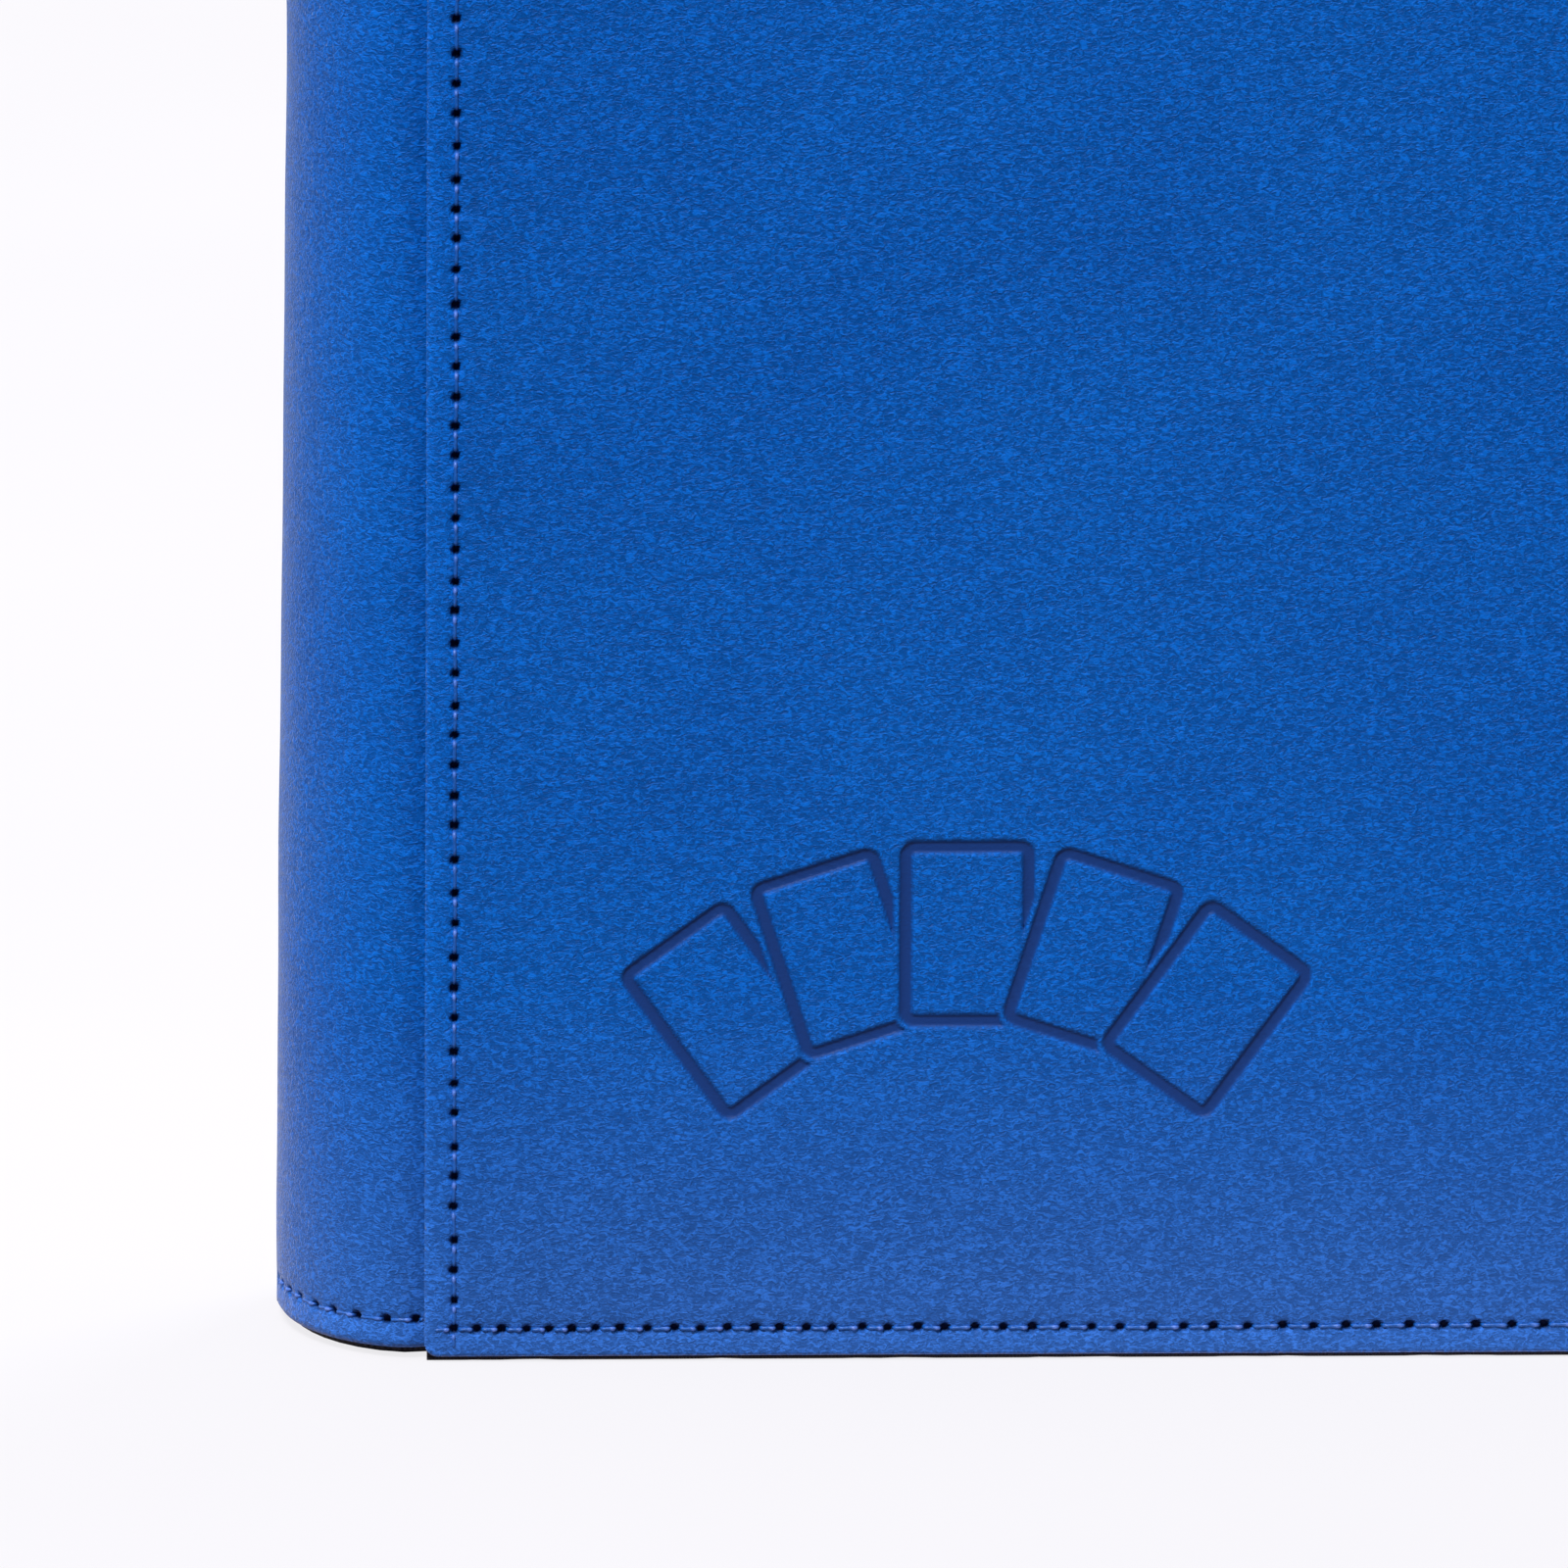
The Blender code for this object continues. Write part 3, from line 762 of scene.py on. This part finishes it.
def spine_half(name, side, materials):
    """Half of the spine's leather, from its middle to where it is sewn under the cover."""
    bottom, height = SPINE_LOW[2], SPINE_HIGH[2] - SPINE_LOW[2]
    surface, curve = spine_surface(side, 0.0, bottom)
    width = curve.length + SPINE_TUCK
    last = curve.length - 1.0 * MM
    seed = 51 if side < 0 else 61
    lines = []
    for number, z in enumerate((EDGE_INSET, height - EDGE_INSET)):
        tail = [((last, z), (curve.length + 0.6 * MM, z))]
        holes = [(1.6 * MM, z), (last, z)]
        lines.append(Stitches(holes, 3.2 * MM, 3.2 * MM, seed + number, crest=1, tails=tail))

    def finer(flat, level):
        _, metres = hole_field(flat, lines)
        ends = np.minimum(flat[:, 1], height - flat[:, 1])
        middle = flat[:, 0] < MIDDLE_REACH[level]
        return (metres < HOLE_REACH[level]) | middle | (ends < EDGE_REACH[level])

    sheet = Sheet(width, height, SHEET_CELL, SHEET_LEVELS, finer)
    flat = sheet.flat
    depth, inside = sewn_relief(flat, lines)
    ends = np.minimum(flat[:, 1], height - flat[:, 1])
    depth += rolled_edge(ends, LIP)
    calm = 1 - smoothstep(flat[:, 0], last - 6 * MM, last)
    lift = unevenness(flat, 0.4) * smoothstep(ends, 1 * MM, 14 * MM) * calm
    outer, _ = surface(flat, lift - depth)
    inner, _ = surface(flat, np.full(len(flat), -LEATHER))
    piece = sheet.solid(name, outer, inner, materials["leather"], flip=side < 0)
    # How much painted shade each point's stitch hole gets.
    point_attribute(piece, "painted_hole_shade", inside)
    # How much painted highlight each point of the edge strip gets.
    point_attribute(piece, "edge_strip_highlight", 1 - smoothstep(ends, EDGE_INSET - 0.5 * MM, EDGE_INSET + 0.5 * MM))
    blend_half(piece)
    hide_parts("spine_leather")
    thread = thread_mesh(name + "_thread", [(line, surface) for line in lines], materials["thread"])
    blend_half(thread)


def backing_half(name, side, materials):
    """Half of the dark backing under the spine's leather, whose edge shows below it."""
    bottom, height = BACKING_LOW[2], BACKING_HIGH[2] - BACKING_LOW[2]
    surface, curve = spine_surface(side, LEATHER + 0.3 * MM, bottom)
    width = curve.length + 0.8 * MM
    sheet = Sheet(width, height, 3.0 * MM)
    outer, _ = surface(sheet.flat, np.zeros(len(sheet.flat)))
    inner, _ = surface(sheet.flat, np.full(len(sheet.flat), -0.6 * MM))
    piece = sheet.solid(name, outer, inner, materials["lining"], flip=side < 0)
    blend_half(piece)
    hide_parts("spine_backing")


# ---------------------------------------------------------------- zip

def edge_path(inset, start_x, step):
    """The zip's run round the top, fore edge and bottom, as points and inward directions."""
    top = BINDER_HEIGHT
    corner = FORE_X - FORE_RADIUS
    radius = FORE_RADIUS - inset
    length = corner - start_x
    tall = top - 2 * FORE_RADIUS
    turn = radius * math.pi / 2
    total = 2 * length + 2 * turn + tall
    count = max(2, round(total / step))

    def on_arc(angle, centre_z, s):
        across, up = math.cos(angle), math.sin(angle)
        return corner + radius * across, centre_z + radius * up, -across, -up, s

    places = []
    for k in range(count + 1):
        s = total * k / count
        if s <= length:
            places.append((start_x + s, top - inset, 0.0, -1.0, s))
        elif s <= length + turn:
            places.append(on_arc(math.pi / 2 - (s - length) / radius, top - FORE_RADIUS, s))
        elif s <= length + turn + tall:
            down = s - length - turn
            places.append((FORE_X - inset, top - FORE_RADIUS - down, -1.0, 0.0, s))
        elif s <= length + 2 * turn + tall:
            places.append(on_arc(-(s - length - turn - tall) / radius, FORE_RADIUS, s))
        else:
            places.append((corner - (s - total + length), inset, 0.0, 1.0, s))
    return np.array(places), total


def sweep(name, path, profile, material, side):
    """A closed profile of (inset, distance from the middle plane) carried along a zip path."""
    points = []
    for x, z, in_x, in_z, s in path:
        for inset, y in profile(s):
            points.append((x + in_x * inset, side * y, z + in_z * inset))
    faces = tube_faces(len(path), len(profile(0.0)))
    if side < 0:
        faces = [face[::-1] for face in faces]
    return mesh_object(name, points, faces, material, sharp=40)


def zip_tape(prefix, side, materials):
    """Woven tape: a flange sewn in under the cover, and a wall that carries the coil."""
    face = -TAPE_LOW[1]
    wall, thick, lowest = 7.0 * MM, 0.8 * MM, 2.9 * MM
    flange_width, ridges, ridge_width = 7.6 * MM, (6.2 * MM, 4.4 * MM), 0.35 * MM

    def flange(s):
        ripple = 0.04 * MM * math.sin(s * 900) + 0.05 * MM * math.sin(s * 310 + 1)
        return [(ripple, face - 0.05 * MM), (ripple, face - thick + 0.05 * MM), (0.2 * MM, face - thick),
                (flange_width, face - thick), (flange_width, face), (0.2 * MM, face)]

    def gusset(s):
        heights = np.linspace(face - thick - 0.1 * MM, lowest, 12)
        outer = []
        for y in heights:
            share = (face - y) / (face - lowest)
            sag = 0.25 * MM * math.sin(math.pi * share) * (0.8 + 0.2 * math.sin(s * 45 + side))
            ridge = sum(0.12 * MM * math.exp(-((y - at) / ridge_width) ** 2) for at in ridges)
            outer.append((wall + sag - ridge + 0.1 * MM, y))
        inner = [(inset + 0.55 * MM, y) for inset, y in outer]
        return outer + inner[::-1]

    path, length = edge_path(0.0, SEAM_X + 0.3 * MM, 2.5 * MM)
    band = sweep(f"{prefix}_tape_flange", path, flange, materials["tape"], side)
    path, inner_length = edge_path(0.0, SEAM_X + SPINE_TUCK + 0.5 * MM, 2.5 * MM)
    wall_piece = sweep(f"{prefix}_tape_wall", path, gusset, materials["tape"], side)
    for piece in (band, wall_piece):
        place_piece(piece, f"{prefix}_cover", f"{prefix}_zip_tape")


def zip_coil(prefix, side, materials):
    """The zip's nylon coil: one long flattened spiral, its loops between the other side's."""
    pitch, wire, sides, steps = 1.5 * MM, 0.30 * MM, 5, 10
    half_thickness, half_width, middle = 0.62 * MM, 1.15 * MM, 1.30 * MM
    inset = 7.4 * MM
    path, length = edge_path(inset, COIL_LOW[0], 0.5 * MM)
    turns = int(length / pitch) - 1
    offset = 0.0 if side < 0 else 0.5
    phase = np.arange(turns * steps + 1) / steps
    along = (phase + offset + 0.5) * pitch
    angle = 2 * math.pi * phase
    columns = [np.interp(along, path[:, 4], path[:, k]) for k in range(4)]
    normal = unit(np.stack([columns[2], np.zeros(len(along)), columns[3]], axis=1))
    centre = np.stack([columns[0], np.zeros(len(along)), columns[1]], axis=1)
    centre += normal * (half_thickness * np.sin(angle))[:, None]
    centre[:, 1] = side * (middle + half_width * np.cos(angle))
    tangent = unit(np.gradient(centre, axis=0))
    travel = np.cross(normal, (0.0, 1.0, 0.0))
    first = unit(np.cross(tangent, travel))
    second = np.cross(tangent, first)
    turn = 2 * math.pi * np.arange(sides) / sides
    rings = (centre[:, None] + wire * (first[:, None] * np.cos(turn)[None, :, None]
                                       + second[:, None] * np.sin(turn)[None, :, None]))
    piece = mesh_object(f"{prefix}_coil_spiral", rings.reshape(-1, 3), tube_faces(len(centre), sides),
                        materials["coil"])
    place_piece(piece, f"{prefix}_cover", f"{prefix}_zip_coil")


def pull_tab(materials):
    """The zip pull's leather tab: two layers sewn together round their edge."""
    low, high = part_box("zip_pull_tab")
    length, width = high[0] - low[0], high[1] - low[1]
    middle, thick = (low[2] + high[2]) / 2, high[2] - low[2]
    inset, near_corner, corner = 1.2 * MM, 1.2 * MM, 3.2 * MM
    radius = corner - inset
    line = [(inset, inset)]
    line += arc((length - corner, corner), radius, 270, 360)
    line += arc((length - corner, width - corner), radius, 0, 90)
    line += [(inset, width - inset), (inset, inset)]
    lines = [Stitches(line, 1.9 * MM, 1.9 * MM, 91, size=0.55)]

    def finer(flat, level):
        _, metres = hole_field(flat, lines)
        return metres < (1.2 * MM, 0.6 * MM)[level]

    sheet = Sheet(length, width, 0.6 * MM, 2, finer)
    border = border_distance(sheet.flat, length, width)
    bent = rounded(sheet.flat, length, width, near_corner, corner)
    depth, inside = sewn_relief(bent, lines)
    depth += rolled_edge(border, 0.45 * MM)
    flattening = 0.10 * MM
    depth -= flattening * smoothstep(border, 1.6 * MM, 3.0 * MM)
    upper, lower = (plane_surface((low[0], low[1], middle + up * (thick / 2 - flattening)),
                                  (1, 0, 0), (0, 1, 0), (0, 0, up)) for up in (1, -1))
    outer, _ = upper(bent, -depth)
    inner, _ = lower(bent, -depth)
    piece = sheet.solid("zip_pull_leather", outer, inner, materials["leather"])
    # How much painted shade each point's stitch hole gets.
    point_attribute(piece, "painted_hole_shade", np.concatenate([inside, inside]))
    # How much painted highlight each point of the edge strip gets.
    edge_strip_highlight = 1 - smoothstep(border, 0.3 * MM, 0.9 * MM)
    point_attribute(piece, "edge_strip_highlight", np.concatenate([edge_strip_highlight, edge_strip_highlight]))
    place_piece(piece, "zip_pull", "zip_pull_tab")
    thread = thread_mesh("zip_pull_thread", [(lines[0], upper)], materials["thread"])
    place_piece(thread, "zip_pull")


def end_tabs(materials):
    """The woven tabs that close the zip's two ends, each sewn down with a box stitch."""
    for end, up in (("top", 1), ("bottom", -1)):
        low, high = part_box(f"zip_end_tab_{end}")
        length, width = high[0] - low[0], high[1] - low[1]
        face = high[2] if up > 0 else low[2]
        thick = high[2] - low[2]
        inset = 1.3 * MM
        sheet = Sheet(length, width, 0.7 * MM)
        bent = rounded(sheet.flat, length, width, 0.4 * MM, 0.6 * MM)
        taper = 1 - 0.38 * smoothstep(bent[:, 0], 0.35 * length, length)
        bent[:, 1] = width / 2 + (bent[:, 1] - width / 2) * taper
        border = border_distance(sheet.flat, length, width)
        drop = 0.30 * MM * (1 - smoothstep(border, 0, 0.8 * MM))
        drop += 0.10 * MM * np.exp(-((border - inset) / (0.35 * MM)) ** 2)
        surface = plane_surface((low[0], low[1], face), (1, 0, 0), (0, 1, 0), (0, 0, up))
        outer, _ = surface(bent, -drop)
        inner, _ = surface(bent, -(thick - drop))
        piece = sheet.solid(f"zip_end_{end}_cloth", outer, inner, materials["tape"], flip=up < 0)
        place_piece(piece, "spine", f"zip_end_tab_{end}")
        near, far = inset, length - inset
        tall, short = width / 2 - 1.5 * MM, width * 0.31 - inset
        box = [(near, width / 2 - tall), (far, width / 2 - short), (far, width / 2 + short),
               (near, width / 2 + tall), (near, width / 2 - tall)]
        stitches = Stitches(box, 1.7 * MM, 1.7 * MM, 95, size=0.6)
        thread = thread_mesh(f"zip_end_{end}_thread", [(stitches, surface)], materials["coil"])
        place_piece(thread, "spine")


def binding_strip(materials):
    """The ribbed cloth strip that holds the pages at the spine."""
    low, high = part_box("page_binding_strip")
    width, height = high[1] - low[1], high[2] - low[2]
    sheet = Sheet(width, height, 1.6 * MM)
    bent = rounded(sheet.flat, width, height, 1.0 * MM, 1.0 * MM)
    drop = 0.35 * MM * (1 - smoothstep(border_distance(sheet.flat, width, height), 0, 1.2 * MM))
    rib_pitch = 6.4 * MM
    rib = 0.12 * MM * (0.5 + 0.5 * np.cos(2 * math.pi * bent[:, 1] / rib_pitch))
    y, z = low[1] + bent[:, 0], low[2] + bent[:, 1]
    outer = np.stack([high[0] - drop - rib, y, z], axis=1)
    inner = np.stack([low[0] + 0.3 * drop, y, z], axis=1)
    strip = sheet.solid("page_strip_ribbed", outer, inner, materials["tape"])
    place_piece(strip, "spine", "page_binding_strip")


# ---------------------------------------------------------------- inside the covers

def cover_insides(prefix, side, materials):
    """The foam pad behind the leather, and the cloth that lines the cover."""
    near_corner, far_corner = 1.5 * MM, 4.0 * MM
    low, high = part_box(f"{prefix}_cover_foam")
    width, height = high[0] - low[0], high[2] - low[2]
    outer_y = FACE_Y - LEATHER - 0.3 * MM
    inner_y = min(abs(low[1]), abs(high[1]))
    pad = Sheet(width, height, 6 * MM, 1, lambda flat, level: border_distance(flat, width, height) < 12 * MM)
    border = border_distance(pad.flat, width, height)
    bent = rounded(pad.flat, width, height, near_corner, far_corner)
    soft = 0.9 * MM * (1 - smoothstep(border, 0, 5 * MM)) + 0.1 * MM

    def at(y_distance):
        return np.stack([low[0] + bent[:, 0], side * y_distance, low[2] + bent[:, 1]], axis=1)

    foam = pad.solid(f"{prefix}_foam_pad", at(outer_y - soft), at(inner_y + 0.6 * soft), materials["foam"],
                     flip=side > 0)
    place_piece(foam, f"{prefix}_cover", f"{prefix}_cover_foam")

    low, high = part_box(f"{prefix}_cover_lining")
    left, right = SEAM_X + 0.6 * MM, high[0]
    width, height = right - left, high[2] - low[2]
    cloth = Sheet(width, height, 5 * MM, 1, lambda flat, level: border_distance(flat, width, height) < 6 * MM)
    bent = rounded(cloth.flat, width, height, near_corner, far_corner)
    border = border_distance(cloth.flat, width, height)
    board_y = max(abs(low[1]), abs(high[1]))
    room_y = board_y - 0.6 * MM
    wave = 0.10 * MM * (1 + np.sin(bent[:, 0] * 130 + side) * np.sin(bent[:, 1] * 95)) / 2
    groove = 0.12 * MM * np.exp(-((border - 4 * MM) / (0.8 * MM)) ** 2)
    x, z = left + bent[:, 0], low[2] + bent[:, 1]
    outer = np.stack([x, np.full(len(bent), side * board_y), z], axis=1)
    inner = np.stack([x, side * (room_y - wave + groove), z], axis=1)
    lining = cloth.solid(f"{prefix}_lining_cloth", outer, inner, materials["lining"], flip=side > 0)
    place_piece(lining, f"{prefix}_cover", f"{prefix}_cover_lining")


def spine_caps(low, high, materials):
    """The dark cloth that closes the spine's two ends, bent down a little at its edge."""
    depth, span = high[0] - low[0], high[1] - low[1]
    rings, steps = 8, 48
    for end, base, up in (("top", high[2], 1), ("bottom", low[2], -1)):
        points = []
        for ring in range(rings):
            share = 1 - ring / rings
            fall = 0.7 * MM * max(0.0, (share - 0.8) / 0.2) ** 2
            for k in range(steps):
                angle = math.pi * (k / (steps - 1) - 0.5)
                reach = depth * 0.965 * math.cos(angle) * share + 1 * MM
                x = high[0] + 0.2 * MM - reach
                z = base - up * (0.35 * MM + fall)
                points.append((x, high[1] * 0.98 * math.sin(angle) * share, z))
        faces = ring_faces(rings, steps)
        faces.append([(rings - 1) * steps + k for k in range(steps)])
        count = len(points)
        under = [(x, y, z - up * 0.6 * MM) for x, y, z in points]
        faces += [[v + count for v in face[::-1]] for face in faces]
        faces += [[k, k + count, (k + 1) % steps + count, (k + 1) % steps] for k in range(steps)]
        if up < 0:
            faces = [face[::-1] for face in faces]
        cap = mesh_object(f"spine_end_cap_{end}", points + under, faces, materials["lining"], sharp=50)
        place_piece(cap, "spine")


def spine_insides(materials):
    """The spine's foam core, and the cloth strip behind the pages."""
    low, high = (Vector(corner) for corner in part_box("spine_foam"))
    spine_caps(low, high, materials)
    low.z, high.z = low.z + 1.6 * MM, high.z - 1.6 * MM
    rings = 24
    across = np.linspace(-1, 1, 17)
    points = []
    for ring in range(rings + 1):
        share = ring / rings
        z = low[2] + (high[2] - low[2]) * share
        belly = BELLY_AT_ENDS - BELLY_DROP * math.sin(math.pi * share) ** 2
        pinch = 1 - 0.25 * math.exp(-share / 0.006) - 0.25 * math.exp(-(1 - share) / 0.006)
        half = high[1] * (0.97 + 0.03 * pinch)
        reach = (high[0] - low[0]) * belly * pinch - 0.4 * MM
        loop = [(high[0] - reach * math.cos(a), half * math.sin(a)) for a in across * math.pi / 2]
        loop += [(high[0], half * y) for y in across[::-1][1:-1]]
        points += [(x, y, z) for x, y in loop]
    faces = tube_faces(rings + 1, len(loop))
    core = mesh_object("spine_foam_core", points, faces, materials["foam"], sharp=50)
    place_piece(core, "spine", "spine_foam")

    low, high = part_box("spine_lining")
    width, height = high[1] - low[1], high[2] - low[2]
    cloth = Sheet(width, height, 2.5 * MM)
    rise = 0.15 * MM * (1 - smoothstep(border_distance(cloth.flat, width, height), 0, 1.5 * MM))
    y, z = low[1] + cloth.flat[:, 0], low[2] + cloth.flat[:, 1]
    outer = np.stack([high[0] - rise, y, z], axis=1)
    inner = np.stack([np.full(len(y), low[0]), y, z], axis=1)
    lining = cloth.solid("spine_lining_cloth", outer, inner, materials["lining"])
    place_piece(lining, "spine", "spine_lining")


# ---------------------------------------------------------------- pages

PAGES = 20
POCKET_ROWS = 3
POCKET_COLUMNS = 3


def page(number, materials):
    """A page of clear pockets welded to both sides of a dark sheet, on a thin tongue."""
    name = f"page_{number:02d}"
    low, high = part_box(name)
    thick = high[1] - low[1]
    middle = (high[1] + low[1]) / 2
    tongue, tongue_half = 9.0 * MM, 0.09 * MM
    film_rise, bulge_rise, lip_drop, core_inset = 0.07 * MM, 0.035 * MM, 0.06 * MM, 0.11 * MM
    left, right, bottom, top = low[0] + tongue, high[0], low[2], high[2]
    margin, weld = 4.0 * MM, 1.2 * MM
    xs, zs = [left], [bottom]
    cell_x = (right - left - 2 * margin) / POCKET_COLUMNS
    cell_z = (top - bottom - 2 * margin) / POCKET_ROWS
    for marks, first, cell, cells in ((xs, left, cell_x, POCKET_COLUMNS), (zs, bottom, cell_z, POCKET_ROWS)):
        for k in range(cells + 1):
            at = first + margin + k * cell
            marks += [at - weld, at - weld / 2, at + weld / 2, at + weld]
    for k in range(POCKET_COLUMNS):
        start = left + margin + k * cell_x
        xs += [start + 5 * MM, start + 5.4 * MM]
        xs += [start + cell_x / 3, start + cell_x / 2, start + 2 * cell_x / 3]
    for k in range(POCKET_ROWS):
        start = bottom + margin + k * cell_z
        zs += [start + cell_z / 4, start + cell_z / 2, start + 3 * cell_z / 4]
    xs += [low[0], low[0] + 3 * MM, low[0] + 6 * MM, left - 0.2 * MM, right]
    zs += [top]
    xs, zs = np.array(sorted(xs)), np.array(sorted(zs))
    grid_x, grid_z = np.meshgrid(xs, zs, indexing="ij")
    share_x = (grid_x - left - margin) / cell_x
    share_z = (grid_z - bottom - margin) / cell_z
    from_weld = np.minimum(np.abs(share_x - np.round(share_x)) * cell_x,
                           np.abs(share_z - np.round(share_z)) * cell_z)
    inside = (share_x > 0) & (share_x < POCKET_COLUMNS) & (share_z > 0) & (share_z < POCKET_ROWS)
    film = np.where(inside, film_rise * smoothstep(from_weld, 0.6 * MM, 1.1 * MM), 0.0)
    bulge = np.sin(math.pi * np.clip(share_x % 1, 0, 1)) * np.sin(math.pi * np.clip(share_z % 1, 0, 1))
    film += np.where(inside, bulge_rise * bulge, 0.0)
    open_lip = (share_x % 1) * cell_x < 5.2 * MM
    film = np.where(inside & open_lip, film - lip_drop, film)
    on_tongue = grid_x < left - 0.1 * MM
    half = np.where(on_tongue, tongue_half, thick / 2 - core_inset + np.maximum(film, 0))
    count = grid_x.size
    front = np.stack([grid_x.ravel(), (middle - half).ravel(), grid_z.ravel()], axis=1)
    back = np.stack([grid_x.ravel(), (middle + half).ravel(), grid_z.ravel()], axis=1)
    columns, rows = grid_x.shape
    index = np.arange(count).reshape(columns, rows)
    a, b = index[:-1, :-1].ravel(), index[1:, :-1].ravel()
    c, d = index[1:, 1:].ravel(), index[:-1, 1:].ravel()
    faces = np.stack([a, b, c, d], axis=1).tolist()
    faces += (np.stack([d, c, b, a], axis=1) + count).tolist()
    rim = np.concatenate([index[:, 0], index[-1, 1:], index[-2::-1, -1], index[0, -2:0:-1]])
    following = np.roll(rim, -1)
    faces += [[p, p + count, q + count, q] for p, q in zip(rim, following)]
    piece = mesh_object(f"{name}_pockets", np.concatenate([front, back]), faces, materials["page"], sharp=60)
    welded = np.where(inside | on_tongue, 0.0, 1.0)
    welded = np.where(inside & (from_weld < 0.7 * MM), 1.0, welded).ravel()
    point_attribute(piece, "welded", np.concatenate([welded, welded]))
    place_piece(piece, name, name)


# ---------------------------------------------------------------- CAD nodes that stay

def dress_frame(materials):
    """Gives every CAD node the material of its slot; pieces made later stand for some of them."""
    for entry in frame["record"]["subparts"]:
        kept = frame["nodes"][entry["node"]]
        kept.data.materials.clear()
        kept.data.materials.append(materials[entry["material_slot"]])


# ---------------------------------------------------------------- the picture

def area_light(name, place, aim, size, power, colour=(1.0, 1.0, 1.0)):
    data = bpy.data.lights.new(name, "AREA")
    data.shape = "RECTANGLE"
    data.size, data.size_y = size
    data.energy = power
    data.color = colour
    lamp = bpy.data.objects.new(name, data)
    lamp.location = place
    lamp.rotation_euler = (Vector(aim) - Vector(place)).to_track_quat("-Z", "Y").to_euler()
    lamp.visible_camera = False
    bpy.context.scene.collection.objects.link(lamp)


def seen_and_lit(tree, lit, seen, output):
    """The camera sees one shader; every other ray, so the object's light, meets the other."""
    rays = node(tree, "ShaderNodeLightPath")
    choose = node(tree, "ShaderNodeMixShader")
    tree.links.new(rays.outputs["Is Camera Ray"], choose.inputs[0])
    tree.links.new(lit.outputs[0], choose.inputs[1])
    tree.links.new(seen.outputs[0], choose.inputs[2])
    tree.links.new(choose.outputs[0], tree.nodes[output].inputs["Surface"])


def studio():
    """A plain pale floor and room to the camera.  They light the binder with a warm glow round its
    foot and a room that is bright at the back, and three soft lamps add to that."""
    material, tree, shader = shader_material("pale_floor", roughness=0.8, specular=0.0,
                                             Emission_Color=(1.0, 0.99, 1.02, 1.0), Emission_Strength=0.81)
    speckle = noise(tree, (6, 6, 6), detail=2)
    tree.links.new(ramp(tree, speckle, [(0.3, (0.086, 0.083, 0.090)), (0.7, (0.094, 0.091, 0.098))]),
                   shader.inputs["Base Color"])
    where = node(tree, "ShaderNodeTexCoord")
    away = node(tree, "ShaderNodeVectorMath", operation="LENGTH")
    tree.links.new(where.outputs["Object"], away.inputs[0])
    pool = node(tree, "ShaderNodeEmission")
    near = maths(tree, "POWER", 2.718, maths(tree, "MULTIPLY", away.outputs["Value"], -5.0))
    tree.links.new(near, pool.inputs["Strength"])
    pool.inputs["Color"].default_value = (1.35, 1.0, 0.92, 1.0)
    seen_and_lit(tree, pool, shader, "Material Output")
    half = 30.0
    floor = mesh_object("floor", [(-half, -half, 0), (half, -half, 0), (half, half, 0), (-half, half, 0)],
                        [[0, 1, 2, 3]], material)
    world = bpy.data.worlds.new("pale_room")
    bpy.context.scene.world = world
    world.use_nodes = True
    tree = world.node_tree
    room = tree.nodes["Background"]
    where = node(tree, "ShaderNodeTexCoord")
    parts = node(tree, "ShaderNodeSeparateXYZ")
    tree.links.new(where.outputs["Generated"], parts.inputs[0])
    level = ramp(tree, spread(tree, parts.outputs["Y"], -1, 1, 0, 1),
                 [(0.0, (0.03, 0.03, 0.03)), (0.25, (0.10, 0.10, 0.10)), (0.5, (0.62, 0.60, 0.61)),
                  (1.0, (1.0, 0.98, 1.0))])
    tree.links.new(level, room.inputs["Color"])
    room.inputs["Strength"].default_value = 1.2
    seen = node(tree, "ShaderNodeBackground")
    seen.inputs["Color"].default_value = (0.85, 0.842, 0.868, 1.0)
    seen_and_lit(tree, room, seen, "World Output")
    area_light("key", (-0.62, -1.22, 1.75), (-0.03, 0, 0.10), (0.55, 0.55), 62)
    area_light("left_fill", (-1.9, 0.35, 0.45), (-0.12, 0, 0.12), (1.0, 1.2), 12, (1.0, 0.96, 0.80))
    area_light("back_key", (0.9, 1.3, 1.6), (0, 0, 0.15), (0.8, 0.8), 32)


VIEW_TARGET = (SEAM_X + 39.3 * MM, -FACE_Y, 65.0 * MM)
VIEW_DISTANCE = 4.0
VIEW_WIDTH = 172.0 * MM
VIEW_ELEVATION = 12.0
VIEW_YAW = 2.3
VIEW_ROLL = 0.25


def camera():
    """A long lens on the lower spine corner, from slightly left and above."""
    data = bpy.data.cameras.new("camera")
    data.sensor_width = 36.0
    data.lens = data.sensor_width * VIEW_DISTANCE / VIEW_WIDTH
    data.clip_end = 100.0
    eye = bpy.data.objects.new("camera", data)
    up, side = math.radians(VIEW_ELEVATION), math.radians(VIEW_YAW)
    away = Vector((-math.sin(side) * math.cos(up), -math.cos(side) * math.cos(up), math.sin(up)))
    eye.location = Vector(VIEW_TARGET) + away * VIEW_DISTANCE
    turn = (-away).to_track_quat("-Z", "Y").to_matrix().to_4x4()
    eye.rotation_euler = turn.to_euler()
    eye.rotation_euler.rotate_axis("Z", math.radians(VIEW_ROLL))
    bpy.context.scene.collection.objects.link(eye)
    bpy.context.scene.camera = eye
    bpy.context.scene.view_settings.view_transform = "Standard"


def main():
    camera()
    studio()
    materials = make_materials()
    dress_frame(materials)
    halves = (("front", -1), ("back", 1))
    for prefix, side in halves:
        cover_leather(prefix, side, materials)
    for prefix, side in halves:
        spine_half(f"spine_{prefix}_leather", side, materials)
        backing_half(f"spine_{prefix}_backing", side, materials)
        zip_tape(prefix, side, materials)
        zip_coil(prefix, side, materials)
        cover_insides(prefix, side, materials)
    spine_insides(materials)
    pull_tab(materials)
    end_tabs(materials)
    binding_strip(materials)
    for number in range(1, PAGES + 1):
        page(number, materials)


main()
